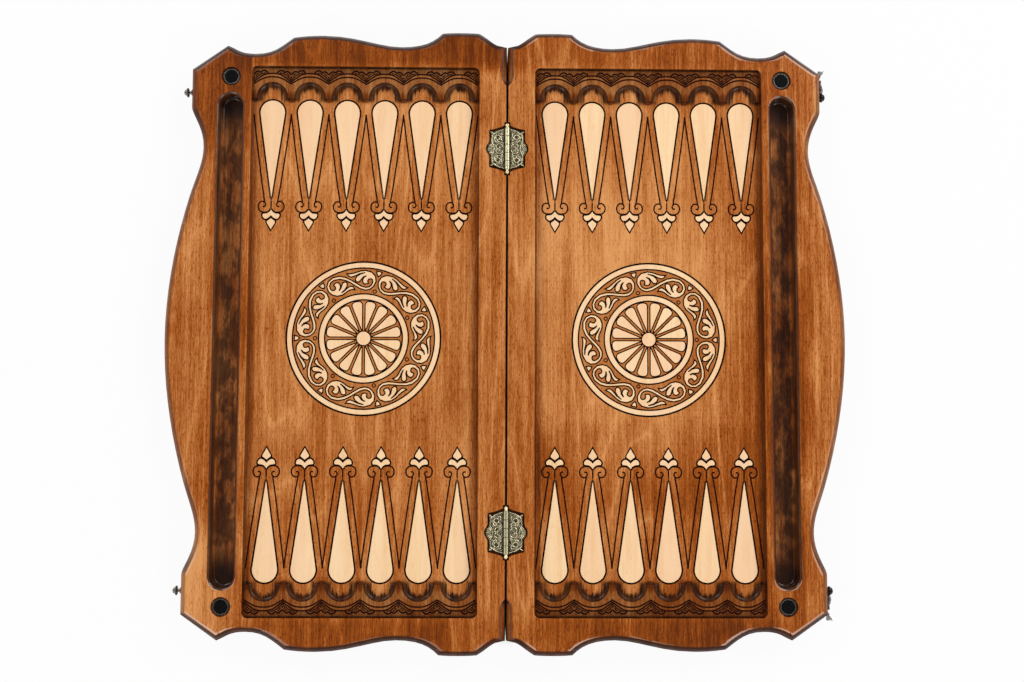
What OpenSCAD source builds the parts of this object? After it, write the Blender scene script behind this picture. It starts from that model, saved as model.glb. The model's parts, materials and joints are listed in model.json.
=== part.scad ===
// Folding carved backgammon board, open flat with the playing faces up.
// Millimetres. The fold line is the Y axis, X points to the right half, Z is up from the table.

/* [Board halves] */
// Thickness of each half
board_t = 24; // [22:0.5:30]
// Wood between the checker trough and the widest point of the side
side_bulge = 41.7; // [36:0.5:55]
// Wood between the trough and the side's hollow, where the outline is narrowest
side_hollow = 11.5; // [9:0.5:13]
// Wood between the trough and the flat that carries the latches
side_flat = 22.5; // [20:0.5:28]
// Wood between the recess and the flat lobes beside the hinge line
end_lobe = 33; // [28:0.5:40]
// Wood between the recess and the broad crest of each end
end_crest = 29.4; // [25:0.5:34]
// Wood between the recess and the hollows of each end
end_hollow = 19.6; // [15:0.5:23]
// Radius of the rounded upper edge
edge_round = 7; // [3:0.5:9]
// Radius of the rounded lower edge
base_round = 2.5; // [1:0.5:4]
// Gap between the halves when they lie open
fold_gap = 1; // [0.8:0.1:2]
// Height of the fold axis above the upper faces, half the gap of the shut board
axis_lift = 0.15; // [0.1:0.05:0.4]

/* [Playing field] */
// Depth of the playing field below the rim
field_depth = 7; // [5:0.5:10]
// Depth of the carved end strips below the rim
strip_depth = 3; // [2:0.5:4]
// Distance from the middle to the recess's ends
field_end = 241.6; // [235:0.5:260]
// Radius of the recess's corners
field_corner = 5; // [3:0.5:8]
// Radius of the cove along the field's long walls
wall_cove = 3; // [1:0.5:3.5]
// Distance between neighbouring points
pitch = 33.2; // [31:0.2:36]
// Points in each row
row_points = 6; // [6:1:6]
// Distance from the fold line to the first point
first_point = 42.6; // [40:0.2:46]
// Wood between the outermost point's middle and the recess's wall
point_margin = 18; // [17.5:0.5:22]
// Width of the carved strip, from the recess's end to the tips of its teeth
strip_w = 28.3; // [26:0.5:32]
// Radius of the scallops in the strip
scallop_r = 14; // [12:0.5:15]

/* [Inlays] */
// Thickness of the inlays
inlay_t = 1.5; // [1:0.1:2.5]
// Width of the groove round each inlay
groove = 1.1; // [0.8:0.1:1.4]
// Radius of a point's round end
point_r = 10.8; // [9:0.2:11.5]
// Distance from the strip's teeth to a point's round end
point_gap = 1.3; // [1:0.1:4]
// Length of a point
point_len = 87.5; // [70:0.5:95]
// Outer radius of the medallion's outer ring
ring_r = 67; // [60:0.5:76]
// Width of the outer ring
ring_w = 4.3; // [3:0.1:7]
// Width of the scroll band between the two rings
band_w = 23.8; // [20:0.1:26]
// Width of the inner ring
inner_ring_w = 4.4; // [3:0.1:6]
// Distance from the inner ring to the rosette's petals
petal_gap = 2; // [1.6:0.1:4]
// Petals of the rosette
petals = 16; // [12:1:20]
// Width of the spokes between the petals
spoke_w = 3.2; // [2.6:0.1:4]
// Radius of the hub
hub_r = 5.9; // [4:0.1:6.5]

/* [Troughs and corner discs] */
// Wood between the recess and the trough's mouth
trough_rail = 5.1; // [4:0.1:12]
// Width of the trough below its rounded rim
trough_w = 19.8; // [16:0.2:24]
// Depth of the trough
trough_depth = 15; // [10:0.5:17]
// Distance from the recess's end to the end of the trough's mouth
trough_inset = 22.6; // [22:0.1:40]
// Radius of the trough's rounded rim
trough_rim = 3; // [1.5:0.5:4]
// Radius of a corner disc
disc_r = 7.2; // [6:0.1:8]
// Thickness of a corner disc
disc_t = 3.2; // [2:0.1:5]
// Depth of the disc's upper face below the rim
disc_sink = 1.6; // [1:0.1:3]
// Distance from the trough's mouth to the disc's middle
disc_offset = 13; // [12:0.5:14.5]

/* [Hinges] */
// Distance from the middle to each hinge
hinge_y = 168.5; // [120:0.5:190]
// Thickness of a leaf
leaf_t = 1.2; // [1:0.1:1.6]
// Depth of a leaf's upper face below the rim
leaf_sink = 0.4; // [0.3:0.1:1]
// Radius of the barrel
barrel_r = 2.2; // [2:0.1:2.6]
// Radius of the hinge pin
pin_r = 0.9; // [0.7:0.1:1.1]
// Length of the barrel
barrel_len = 37; // [34:1:40]
// Knuckles of the barrel
knuckles = 5; // [3:2:7]
// Distance of the nails from the fold line
nail_x = 8.3; // [6:0.1:10]
// Distance of the nails from the hinge's middle
nail_y = 10.3; // [6:0.1:11]
// Radius of a nail's shank
nail_r = 0.6; // [0.5:0.05:0.8]
// Length of a nail below its head
nail_len = 10; // [6:0.5:14]

/* [Latches] */
// Distance from the recess's end to each latch
latch_inset = 22.6; // [17:0.1:29]
// Depth of the latch below the rim
latch_depth = 9; // [9:0.5:13]
// Angle that a free hook hangs below the level
hook_droop = 16; // [5:1:18]
// Thickness of the hook's plate
hook_t = 1.3; // [1:0.1:1.6]
// Width of the hook's arm
hook_w = 5; // [4:0.2:6]
// Radius of the knob's neck
neck_r = 1.4; // [1.1:0.1:1.6]
// Radius of the knob's disc
knob_r = 4.2; // [3.6:0.1:4.6]
// Length of the screw shanks in the wood
shank_len = 12; // [8:0.5:16]
// Radius of the screw shanks
shank_r = 1.2; // [1:0.1:1.5]

/* [Fits] */
// Radial clearance of the pin in its knuckles and of the pivot in its hook
run_fit = 0.08; // [0.03:0.01:0.1]
// Clearance between moving pieces
clear = 0.3; // [0.2:0.05:0.5]
// Radial clearance of nails, shanks and discs in their seats
seat_fit = 0.05; // [0.02:0.01:0.1]

/* [Hidden] */
$fn = 48;

// Small overlap that keeps a cut clear of the face that it opens
cut = 1;
// Levels of the board
floor_z = board_t - field_depth;
strip_z = board_t - strip_depth;
axis_z = board_t + axis_lift;
latch_z = board_t - latch_depth;
seam_x = fold_gap / 2;
// Edges of the recess and of the trough, from the fold line outwards
field_in = first_point - point_margin;
field_out = first_point + (row_points - 1) * pitch + point_margin;
mouth_w = trough_w + 2 * trough_rim;
trough_x = field_out + trough_rail + mouth_w / 2;
trough_out = field_out + trough_rail + mouth_w;
medallion_x = (field_in + field_out) / 2;
// Radii of the medallion, from its outer ring inwards
band_out = ring_r - ring_w;
inner_ring_r = band_out - band_w;
star_r = inner_ring_r - inner_ring_w;
petal_r = star_r - petal_gap;
// Edges of the outline
reach_x = trough_out + side_bulge;
hollow_x = trough_out + side_hollow;
flat_x = trough_out + side_flat;
teeth_y = field_end - strip_w;
// Distance from the teeth's fronts to the middles of the scallops
scallop_lift = 0.8;
// Radius of the trough's foot and width of the step round a disc
trough_foot = 2;
disc_margin = 1.3;
point_top = teeth_y - point_gap;
point_tip = point_top - point_len;
trough_end = field_end - trough_inset;
disc_y = trough_end + disc_offset;
latch_y = field_end - latch_inset;

// Points of a cubic curve after its first end
function curve(a, b, c, d, steps) = [
    for (i = [1:steps]) let (t = i / steps, s = 1 - t)
        s * s * s * a + 3 * s * s * t * b + 3 * s * t * t * c + t * t * t * d
];

// Points of a chain of cubic curves, each given by its two handles and its end
function chain(start, spans, steps) = [
    start,
    for (i = [0:len(spans) - 1])
        let (from = i == 0 ? start : spans[i - 1][2])
        each curve(from, spans[i][0], spans[i][1], spans[i][2], steps)
];

function reversed(list) = [for (i = [len(list) - 1:-1:0]) list[i]];
function mirrored_y(list) = [for (p = list) [p.x, -p.y]];
function mirrored_x(list) = [for (p = list) [-p.x, p.y]];
function unit(v) = v / norm(v);

// Half of a symmetrical outline, closed by its mirror image across the Y axis
module mirrored_outline(half) {
    polygon(concat(half, reversed(mirrored_x(half))));
}

// Outline of one half of the board, the rear half of it, from the fold line to the side's middle
seam_end = field_end + end_hollow + 0.3;
lobe_y = field_end + end_lobe;
crest_y = field_end + end_crest;
valley_y = field_end + end_hollow;
ear_y = valley_y - 0.6;
dip_y = valley_y - 7.2;
shoulder_y = field_end - 2.4;
flat_low_y = field_end - 36.6;
hollow_y = field_end - 72.6;
crest_x = field_out - 63;
ear_x = trough_out - 8;
arch_len = 9;
// Where the fans of the flat faces meet
fan_x = field_in + 35;
arch_y = teeth_y + 11;

function end_spans() = [
    [[seam_x + 13.5, seam_end + 4.2], [field_in - 7, lobe_y - 4.8], [field_in + 0.4, lobe_y - 0.6]],
    [[field_in + 8, lobe_y + 0.2], [field_in + 26, lobe_y + 0.2], [field_in + 33.4, lobe_y - 0.7]],
    [[field_in + 41, lobe_y - 8.6], [field_in + 51, valley_y], [field_in + 70, valley_y]],
    [[field_in + 90, valley_y], [crest_x - 30, crest_y], [crest_x, crest_y]],
    [[crest_x + 10, crest_y], [crest_x + 18, crest_y - 0.6], [crest_x + 27, crest_y - 2]],
    [[crest_x + 39, crest_y - 11], [crest_x + 45, dip_y], [crest_x + 61, dip_y]],
    [[crest_x + 71, dip_y], [ear_x - 10.5, ear_y - 4.2], [ear_x - 7, ear_y - 2.2]]
];
function side_spans() = [
    [[flat_x, flat_low_y - 6], [hollow_x, hollow_y + 18], [hollow_x, hollow_y]],
    [[hollow_x, hollow_y - 14], [hollow_x + 6, hollow_y - 26], [hollow_x + 11, hollow_y - 43]],
    [[hollow_x + 23, hollow_y - 84], [reach_x, 42], [reach_x, 0]]
];
seam_ys = [for (i = [0:6]) arch_y + arch_len * i / 6];
rear_outline = concat(
    [[seam_x, 0]],
    [for (y = seam_ys) [seam_x, y]],
    [[seam_x, (arch_y + arch_len + seam_end) / 2]],
    [[seam_x, seam_end]],
    chain([seam_x + 8.5, seam_end + 2], end_spans(), 6),
    [[ear_x - 0.8, ear_y + 0.7], [flat_x, shoulder_y]],
    chain([flat_x, flat_low_y], side_spans(), 9)
);
half_outline = concat(
    rear_outline,
    [for (i = [len(rear_outline) - 2:-1:1]) [rear_outline[i].x, -rear_outline[i].y]]
);

// Direction in which each corner of a clockwise outline moves when its edges move inwards by one
function inward(outline) = [
    for (i = [0:len(outline) - 1])
        let (
            n = len(outline),
            before = unit(outline[i] - outline[(i + n - 1) % n]),
            after = unit(outline[(i + 1) % n] - outline[i]),
            a = [before.y, -before.x],
            b = [after.y, -after.x]
        )
        (a + b) / (1 + a * b)
];

// Radius of the rounded edge: full all round, fading out in a pointed arch along the fold line
function edge_radius(p, full, least) =
    p.x > seam_x + 0.01 ? full
    : let (t = (arch_y + arch_len - abs(p.y)) / arch_len)
        max(least, full * (1 - pow(max(0, min(1, t)), 2)));

// Closed solid through level rings of points, the first ring lowest. Its two ends are fans round
// the line x, y = middle, from which every ring is seen whole.
module ring_solid(rings, middle) {
    n = len(rings[0]);
    count = len(rings);
    points = concat(
        [for (ring = rings) each ring],
        [[middle.x, middle.y, rings[0][0].z], [middle.x, middle.y, rings[count - 1][0].z]]
    );
    top = (count - 1) * n;
    sides = [
        for (k = [0:count - 2]) for (i = [0:n - 1])
            let (a = k * n + i, b = k * n + (i + 1) % n)
            each [[a, b, b + n], [a, b + n, a + n]]
    ];
    ends = [
        for (i = [0:n - 1])
            let (j = (i + 1) % n)
            each [[j, i, count * n], [top + i, top + j, count * n + 1]]
    ];
    polyhedron(points = points, faces = concat(sides, ends), convexity = 10);
}

// Body of one half with its rounded edges, before anything is cut into it
module board_blank() {
    moves = inward(half_outline);
    seam_ease = 0.4;
    low = [for (p = half_outline) edge_radius(p, base_round, seam_ease)];
    high = [for (p = half_outline) edge_radius(p, edge_round, seam_ease)];
    arc_steps = 5;
    rings = concat(
        [for (k = [0:3]) let (q = 90 * k / 3) [
            for (i = [0:len(half_outline) - 1])
                let (p = half_outline[i] + moves[i] * low[i] * (1 - sin(q)))
                [p.x, p.y, low[i] * (1 - cos(q))]
        ]],
        [for (k = [0:arc_steps]) let (q = 90 * k / arc_steps) [
            for (i = [0:len(half_outline) - 1])
                let (p = half_outline[i] + moves[i] * high[i] * (1 - cos(q)))
                [p.x, p.y, board_t - high[i] * (1 - sin(q))]
        ]]
    );
    ring_solid(rings, [fan_x, 0]);
}

// Rectangle with round corners between two opposite corners
module round_rect(low, high, r) {
    for (x = [low.x + r, high.x - r])
        for (y = [low.y + r, high.y - r])
            translate([x, y]) circle(r);
    translate([low.x + r, low.y]) square([high.x - low.x - 2 * r, high.y - low.y]);
    translate([low.x, low.y + r]) square([high.x - low.x, high.y - low.y - 2 * r]);
}

// Quarter arc from straight up to level, turning round a centre at the given angles
function arc(centre, r, from, to, steps) = [
    for (i = [0:steps]) let (q = from + (to - from) * i / steps) centre + r * [cos(q), sin(q)]
];

// Recess: the level of the carved strips, then the playing field between them
module field_cut() {
    translate([0, 0, strip_z])
        linear_extrude(strip_depth + cut)
            round_rect([field_in, -field_end], [field_out, field_end], field_corner);
    wall = [
        each arc([field_in + wall_cove, floor_z + wall_cove], wall_cove, 180, 270, 4),
        each arc([field_out - wall_cove, floor_z + wall_cove], wall_cove, 270, 360, 4),
        [field_out, strip_z + cut], [field_in, strip_z + cut]
    ];
    translate([0, teeth_y, 0]) rotate([90, 0, 0]) linear_extrude(2 * teeth_y) polygon(wall);
    for (end = [-1, 1])
        for (i = [0:row_points - 1])
            translate([first_point + i * pitch, end * (teeth_y + scallop_lift), 0]) scallop_cut();
}

// One scallop, coved down from the strip to the field
module scallop_cut() {
    drop = field_depth - strip_depth;
    rotate_extrude() polygon([
        [0, floor_z],
        each arc([scallop_r - drop, strip_z], drop, 270, 360, 4),
        [scallop_r, strip_z + cut], [0, strip_z + cut]
    ]);
}

// Half of the trough's section, from its middle outwards
function trough_section() =
    let (half = trough_w / 2, bottom = board_t - trough_depth) [
        [0, bottom],
        each arc([half - trough_foot, bottom + trough_foot], trough_foot, 270, 360, 3),
        each arc([half + trough_rim, board_t - trough_rim], trough_rim, 180, 90, 4),
        [half + trough_rim, board_t + cut], [0, board_t + cut]
    ];

module trough_cut() {
    run = trough_end - mouth_w / 2;
    section = trough_section();
    translate([trough_x, run, 0]) rotate([90, 0, 0]) linear_extrude(2 * run)
        polygon(concat(section, reversed(mirrored_x(section))));
    for (end = [-1, 1])
        translate([trough_x, end * run, 0]) rotate_extrude() polygon(section);
}

// Stepped seats of the two corner discs
module disc_seats() {
    for (end = [-1, 1]) translate([trough_x, end * disc_y, 0]) {
        translate([0, 0, board_t - disc_sink]) cylinder(r = disc_r + disc_margin, h = disc_sink + cut);
        translate([0, 0, board_t - disc_sink - disc_t])
            cylinder(r = disc_r + seat_fit, h = disc_t + cut);
    }
}

// Outline of a point: a round end drawn out to a tip along -Y
module point_shape(r, tip_y) {
    middle_y = point_top - point_r;
    reach = middle_y - tip_y;
    lean = asin(r / reach);
    touch = [r * cos(lean), middle_y - r * sin(lean)];
    translate([0, middle_y]) circle(r);
    polygon([[0, tip_y], touch, [0, middle_y], [-touch.x, touch.y]]);
}

// The ornament below a point is drawn from the point's tip, for a point of radius 10.8
tip_size = point_r / 10.8;

// Right half of the collar's outline
function collar_half() = tip_size * chain([0, -10.5], [
    [[0.8, -12.3], [2.6, -14.2], [5, -14.2]],
    [[6.2, -14.2], [7.6, -14], [7.6, -15.5]],
    [[7.6, -17.1], [6.2, -18.9], [4.8, -18.9]],
    [[3.4, -18.9], [1.6, -17.6], [0, -15.5]]
], 4);

// Right half of the leaf that ends a point
function leaf_half() = tip_size * chain([0, -18.2], [
    [[1, -19.2], [2.4, -20.2], [3.2, -20.6]],
    [[4, -21.4], [3.7, -22.4], [2.6, -24]],
    [[1.8, -25.2], [0.6, -27.2], [0, -28.5]]
], 4);

// Right half of the groove's outline round both
function tip_groove_half() = tip_size * chain([0, -8], [
    [[0.8, -11.2], [2.6, -12.8], [5.4, -12.9]],
    [[8, -12.9], [8.9, -13.4], [8.9, -15.6]],
    [[8.9, -18], [7, -19.8], [5, -20.4]],
    [[5, -22.4], [3.8, -24.4], [0, -30.6]]
], 4);

// Groove cuts for one point, its centre line, its collar and its leaf
module point_cut() {
    lean = asin(point_r / (point_len - point_r));
    // The groove's own tip is cut off where the centre line takes over
    groove_tip = 0.6 * groove / sin(lean);
    line_w = 1.2;
    line_low = 9 * tip_size;
    line_len = 6 * tip_size;
    translate([0, 0, floor_z - inlay_t]) linear_extrude(inlay_t + cut) {
        point_shape(point_r + groove, point_tip - groove_tip);
        translate([-line_w / 2, point_tip - line_low]) square([line_w, line_len]);
        translate([0, point_tip]) mirrored_outline(tip_groove_half());
    }
}

// Places its children at each point of a row, at the rear or the front end
module row(end) {
    for (i = [0:row_points - 1])
        translate([first_point + i * pitch, 0, 0])
            if (end > 0) children(); else mirror([0, 1, 0]) children();
}

module row_points_solid(end) {
    row(end) translate([0, 0, floor_z - inlay_t]) linear_extrude(inlay_t)
        point_shape(point_r, point_tip);
}

module row_tips_solid(end) {
    row(end) translate([0, point_tip, floor_z - inlay_t]) linear_extrude(inlay_t) {
        mirrored_outline(collar_half());
        mirrored_outline(leaf_half());
    }
}

// Scroll band. A half scroll is drawn on the unrolled band, from the middle of its stem round the
// volute to the stem's other side; its second half is the first one turned half round.
scroll_units = 7;
half_scroll_spans = [
    [[-3.4, -4.4], [-7.5, -8.35], [-13, -8.35]],
    [[-17.6, -8.35], [-21.3, -4.6], [-21.3, 0]],
    [[-21.3, 4.8], [-17.2, 8.4], [-12.2, 8.4]],
    [[-8.5, 8.4], [-5.5, 6.5], [-2.2, 6.5]],
    [[-1, 6.5], [0.2, 6.7], [1.2, 7.1]],
    [[1, 5.4], [0, 4.25], [-1.6, 4.25]],
    [[-4.5, 4.25], [-7.2, 7.05], [-11.6, 7.05]],
    [[-12.3, 7.05], [-12.2, 6.4], [-11.4, 6.2]],
    [[-8.6, 5.7], [-4.4, 3.6], [-4.1, 1.1]],
    [[-3.9, -0.3], [-5.3, -1.3], [-7, -0.75]],
    [[-9.2, 0.9], [-9.6, 3.9], [-12.4, 4.15]],
    [[-13.3, 4.4], [-13.5, 3.8], [-12.9, 3.3]],
    [[-11.5, 2.9], [-10.3, 1.3], [-10.3, -0.6]],
    [[-10.3, -3.2], [-12.6, -3.4], [-14.6, -2.3]],
    [[-13.6, -0.6], [-13.8, 2.1], [-16.7, 2.1]],
    [[-18.3, 2.1], [-19.3, 1], [-19.3, -0.9]],
    [[-19.3, -4.4], [-16.8, -6.65], [-13.2, -6.65]],
    [[-8.2, -6.65], [-3.6, -2.2], [-0.55, 0.55]]
];
half_scroll = chain([0.55, -0.55], half_scroll_spans, 3);
scroll_outline = concat(half_scroll, [for (p = half_scroll) -p]);
kite_outline = [[-1.6, 8.7], [1.6, 8.7], [1.1, 6.6], [0, 5.2], [-1.1, 6.6]];
// The unrolled band is drawn 23.8 wide, with the scrolls' middles 12.5 from the inner ring, and with
// its true length at the radius 50.6
band_size = band_w / 23.8;
scroll_r = inner_ring_r + 12.5 * band_size;
drawn_turn = 180 / PI / 50.6;
scroll_groove = 0.9 * groove;
// Which of the units, going round from the outer side, are drawn the other way round
turned = [false, true, false, false, true, false, true];

// A shape on the unrolled band, rolled up round the medallion with its middle at the given angle
module rolled(outline, angle, flip) {
    polygon([
        for (p = outline)
            let (q = angle - (flip ? -p.x : p.x) * drawn_turn, r = scroll_r + p.y * band_size)
            r * [cos(q), sin(q)]
    ]);
}

module scroll_shapes() {
    for (i = [0:scroll_units - 1]) {
        rolled(scroll_outline, -360 / scroll_units * (i + 0.5), turned[i]);
        rolled(kite_outline, -360 / scroll_units * i, false);
    }
}

// One petal along +X, from its tip between two spokes to its round end
petal_lean = 180 / petals;
petal_start = spoke_w / 2 / sin(petal_lean);
// Length of a petal's round end
petal_round = 0.12 * petal_r;

function petal_half_w(x) = (x - petal_start) * tan(petal_lean);

function petal_half() =
    let (side = petal_r - petal_round, near = petal_r - petal_round / 3)
    chain([side, petal_half_w(side)], [
        [[near, petal_half_w(near)], [petal_r, petal_half_w(petal_r) * 0.7], [petal_r, 0]]
    ], 5);

module petal() {
    half = petal_half();
    polygon(concat([[petal_start, 0]], half, reversed(mirrored_y([for (i = [0:len(half) - 2]) half[i]]))));
}

module petal_shapes() {
    for (i = [0:petals - 1]) rotate(360 / petals * (i + 0.5)) petal();
}

// Medallion, built round the origin as on the right half
module medallion_slab() {
    translate([0, 0, floor_z - inlay_t]) linear_extrude(inlay_t) children();
}

module annulus(outer, inner) {
    difference() {
        circle(outer, $fn = 96);
        circle(inner, $fn = 96);
    }
}

module medallion_ground() {
    // Band that carries the scrolls
    difference() {
        medallion_slab() annulus(band_out - groove, inner_ring_r + groove);
        translate([0, 0, floor_z - inlay_t - cut]) linear_extrude(inlay_t + 2 * cut)
            offset(delta = scroll_groove) scroll_shapes();
    }
    // Star between the petals
    difference() {
        medallion_slab() annulus(star_r - groove, hub_r + groove);
        translate([0, 0, floor_z - inlay_t - cut]) linear_extrude(inlay_t + 2 * cut)
            offset(delta = scroll_groove) petal_shapes();
    }
}

module medallion_rings() {
    medallion_slab() annulus(ring_r, band_out);
    medallion_slab() annulus(inner_ring_r, star_r);
}

module rosette() {
    medallion_slab() {
        petal_shapes();
        circle(hub_r);
    }
}

module scrolls() {
    medallion_slab() scroll_shapes();
}

// Leaf of a hinge on the right half, with the hinge's middle at Y = 0
leaf_spans = [
    [[4, 17.8], [8.5, 17.2], [11.8, 14.3]],
    [[13, 14.4], [14, 15.4], [15.2, 15.8]],
    [[14.6, 14.6], [14, 13.6], [14.1, 12]],
    [[14.3, 9.5], [15, 8.5], [14.6, 6.2]],
    [[14.9, 4.8], [17.2, 4.2], [17.6, 0]]
];
mortise_spans = [
    [[2.4, 19.4], [8, 18.6], [15.6, 16.8]],
    [[16.5, 16], [15.9, 12], [15.9, 8]],
    [[15.9, 4], [18.9, 4.5], [18.9, 0]]
];
// Half of the mortise's length at the fold line
mortise_end = barrel_len / 2 + 5.3;
finial_len = 4.6;
finial_r = 1.8;
knuckle_gap = 0.2;
// Room round the barrel in its channel, and how far a leaf's plate runs in under the barrel
barrel_room = 0.5;
plate_lap = 0.8;
nail_head_r = 1.2;
knuckle_len = (barrel_len - (knuckles - 1) * knuckle_gap) / knuckles;
leaf_z = board_t - leaf_sink - leaf_t;

function knuckle_y(i) = -barrel_len / 2 + i * (knuckle_len + knuckle_gap);

// Closed outline from the upper half of a shape that starts and ends on the X or Y axis
module upper_outline(start, spans) {
    half = chain(start, spans, 4);
    polygon(concat(half, reversed(mirrored_y([for (i = [0:len(half) - 2]) half[i]]))));
}

module along_y(y, length) {
    translate([0, y + length, 0]) rotate([90, 0, 0]) linear_extrude(length) children();
}

module leaf_solid(first) {
    own = [for (i = [0:knuckles - 1]) if ((i + first) % 2 == 0) i];
    others = [for (i = [0:knuckles - 1]) if ((i + first) % 2 == 1) i];
    plate_start = barrel_r - plate_lap;
    difference() {
        union() {
            difference() {
                translate([0, 0, leaf_z]) linear_extrude(leaf_t)
                    upper_outline([plate_start, 17.8], leaf_spans);
                for (i = others)
                    translate([0, knuckle_y(i) - knuckle_gap, axis_z]) rotate([-90, 0, 0])
                        cylinder(r = barrel_r + clear, h = knuckle_len + 2 * knuckle_gap);
            }
            for (i = own)
                translate([0, knuckle_y(i), axis_z]) rotate([-90, 0, 0])
                    cylinder(r = barrel_r, h = knuckle_len);
        }
        translate([0, -barrel_len / 2 - cut, axis_z]) rotate([-90, 0, 0])
            cylinder(r = pin_r + run_fit, h = barrel_len + 2 * cut);
        for (end = [-1, 1])
            translate([nail_x, end * nail_y, leaf_z - cut])
                cylinder(r = nail_r + seat_fit, h = leaf_t + 2 * cut);
    }
}

// Mortise and barrel channel in the board
module hinge_seats() {
    for (end = [-1, 1]) translate([0, end * hinge_y, 0]) {
        translate([0, 0, leaf_z]) linear_extrude(leaf_t + leaf_sink + cut)
            upper_outline([0, mortise_end], mortise_spans);
        translate([0, -mortise_end, axis_z]) rotate([-90, 0, 0])
            cylinder(r = barrel_r + barrel_room, h = 2 * mortise_end);
        for (side = [-1, 1])
            translate([nail_x, side * nail_y, leaf_z - nail_len + leaf_t - seat_fit])
                cylinder(r = nail_r + seat_fit, h = nail_len);
    }
}

module hinge_pin(end) {
    color("goldenrod") translate([0, end * hinge_y, axis_z]) rotate([-90, 0, 0])
        for (side = [0, 1]) mirror([0, 0, side]) rotate_extrude() polygon([
            [0, 0], [pin_r, 0], [pin_r, barrel_len / 2 + 0.1],
            [1.7, barrel_len / 2 + 0.1], [1.7, barrel_len / 2 + 0.7], [1.2, barrel_len / 2 + 0.9],
            each arc([0, barrel_len / 2 + 2.4], finial_r, -50, 50, 5),
            [0.5, barrel_len / 2 + finial_len - 0.3], [0, barrel_len / 2 + finial_len]
        ]);
}

module nails() {
    for (end = [-1, 1]) for (side = [-1, 1])
        translate([nail_x, end * hinge_y + side * nail_y, leaf_z + leaf_t]) {
            translate([0, 0, -nail_len]) cylinder(r = nail_r, h = nail_len);
            cylinder(r1 = nail_head_r, r2 = 0.7 * nail_head_r, h = leaf_sink - seat_fit);
        }
}

// Latch pieces, on the side's flat at the rear end, built as on the right half.
// Heights out from the wood: spacer, hook plate, then the heads
plate_out = 1.6;
spacer_out = plate_out - 0.2;
pivot_r = 1.5;
head_gap = 0.15;
hook_reach = 2 * (axis_z - latch_z);
notch_r = neck_r + 0.4;
face_out = plate_out + hook_t;

module latch_place(end) {
    translate([flat_x, end * latch_y, latch_z]) if (end > 0) children(); else mirror([0, 1, 0]) children();
}

// Turned piece standing out from the side's flat
module turned_out(profile) {
    rotate([0, 90, 0]) rotate_extrude() polygon(profile);
}

module latch_holes() {
    for (end = [-1, 1]) latch_place(end)
        translate([-shank_len, 0, 0]) rotate([0, 90, 0])
            cylinder(r = shank_r + seat_fit, h = shank_len + cut);
}

module knob() {
    disc_out = face_out + 0.7;
    turned_out([
        [0, -shank_len + seat_fit], [shank_r, -shank_len + 1.5], [shank_r, 0],
        [2.7, 0], [2.7, 0.8], [2.3, 1.2], [neck_r, 1.2], [neck_r, disc_out],
        [knob_r - 0.7, disc_out], [knob_r, disc_out + 0.5], [knob_r, disc_out + 1.1],
        [knob_r - 0.8, disc_out + 1.7], [2.6, disc_out + 1.9],
        [2.3, disc_out + 3.2], [1.3, disc_out + 3.9], [0, disc_out + 4.1]
    ]);
}

module hook_screw() {
    head = face_out + head_gap;
    turned_out([
        [0, -shank_len + seat_fit], [shank_r, -shank_len + 1.5], [shank_r, 0],
        [2.8, 0], [2.8, spacer_out], [pivot_r, spacer_out], [pivot_r, head],
        [3, head], [3.1, head + 0.9], [2.4, head + 1.8], [1.2, head + 2.3], [0, head + 2.4]
    ]);
}

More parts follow.
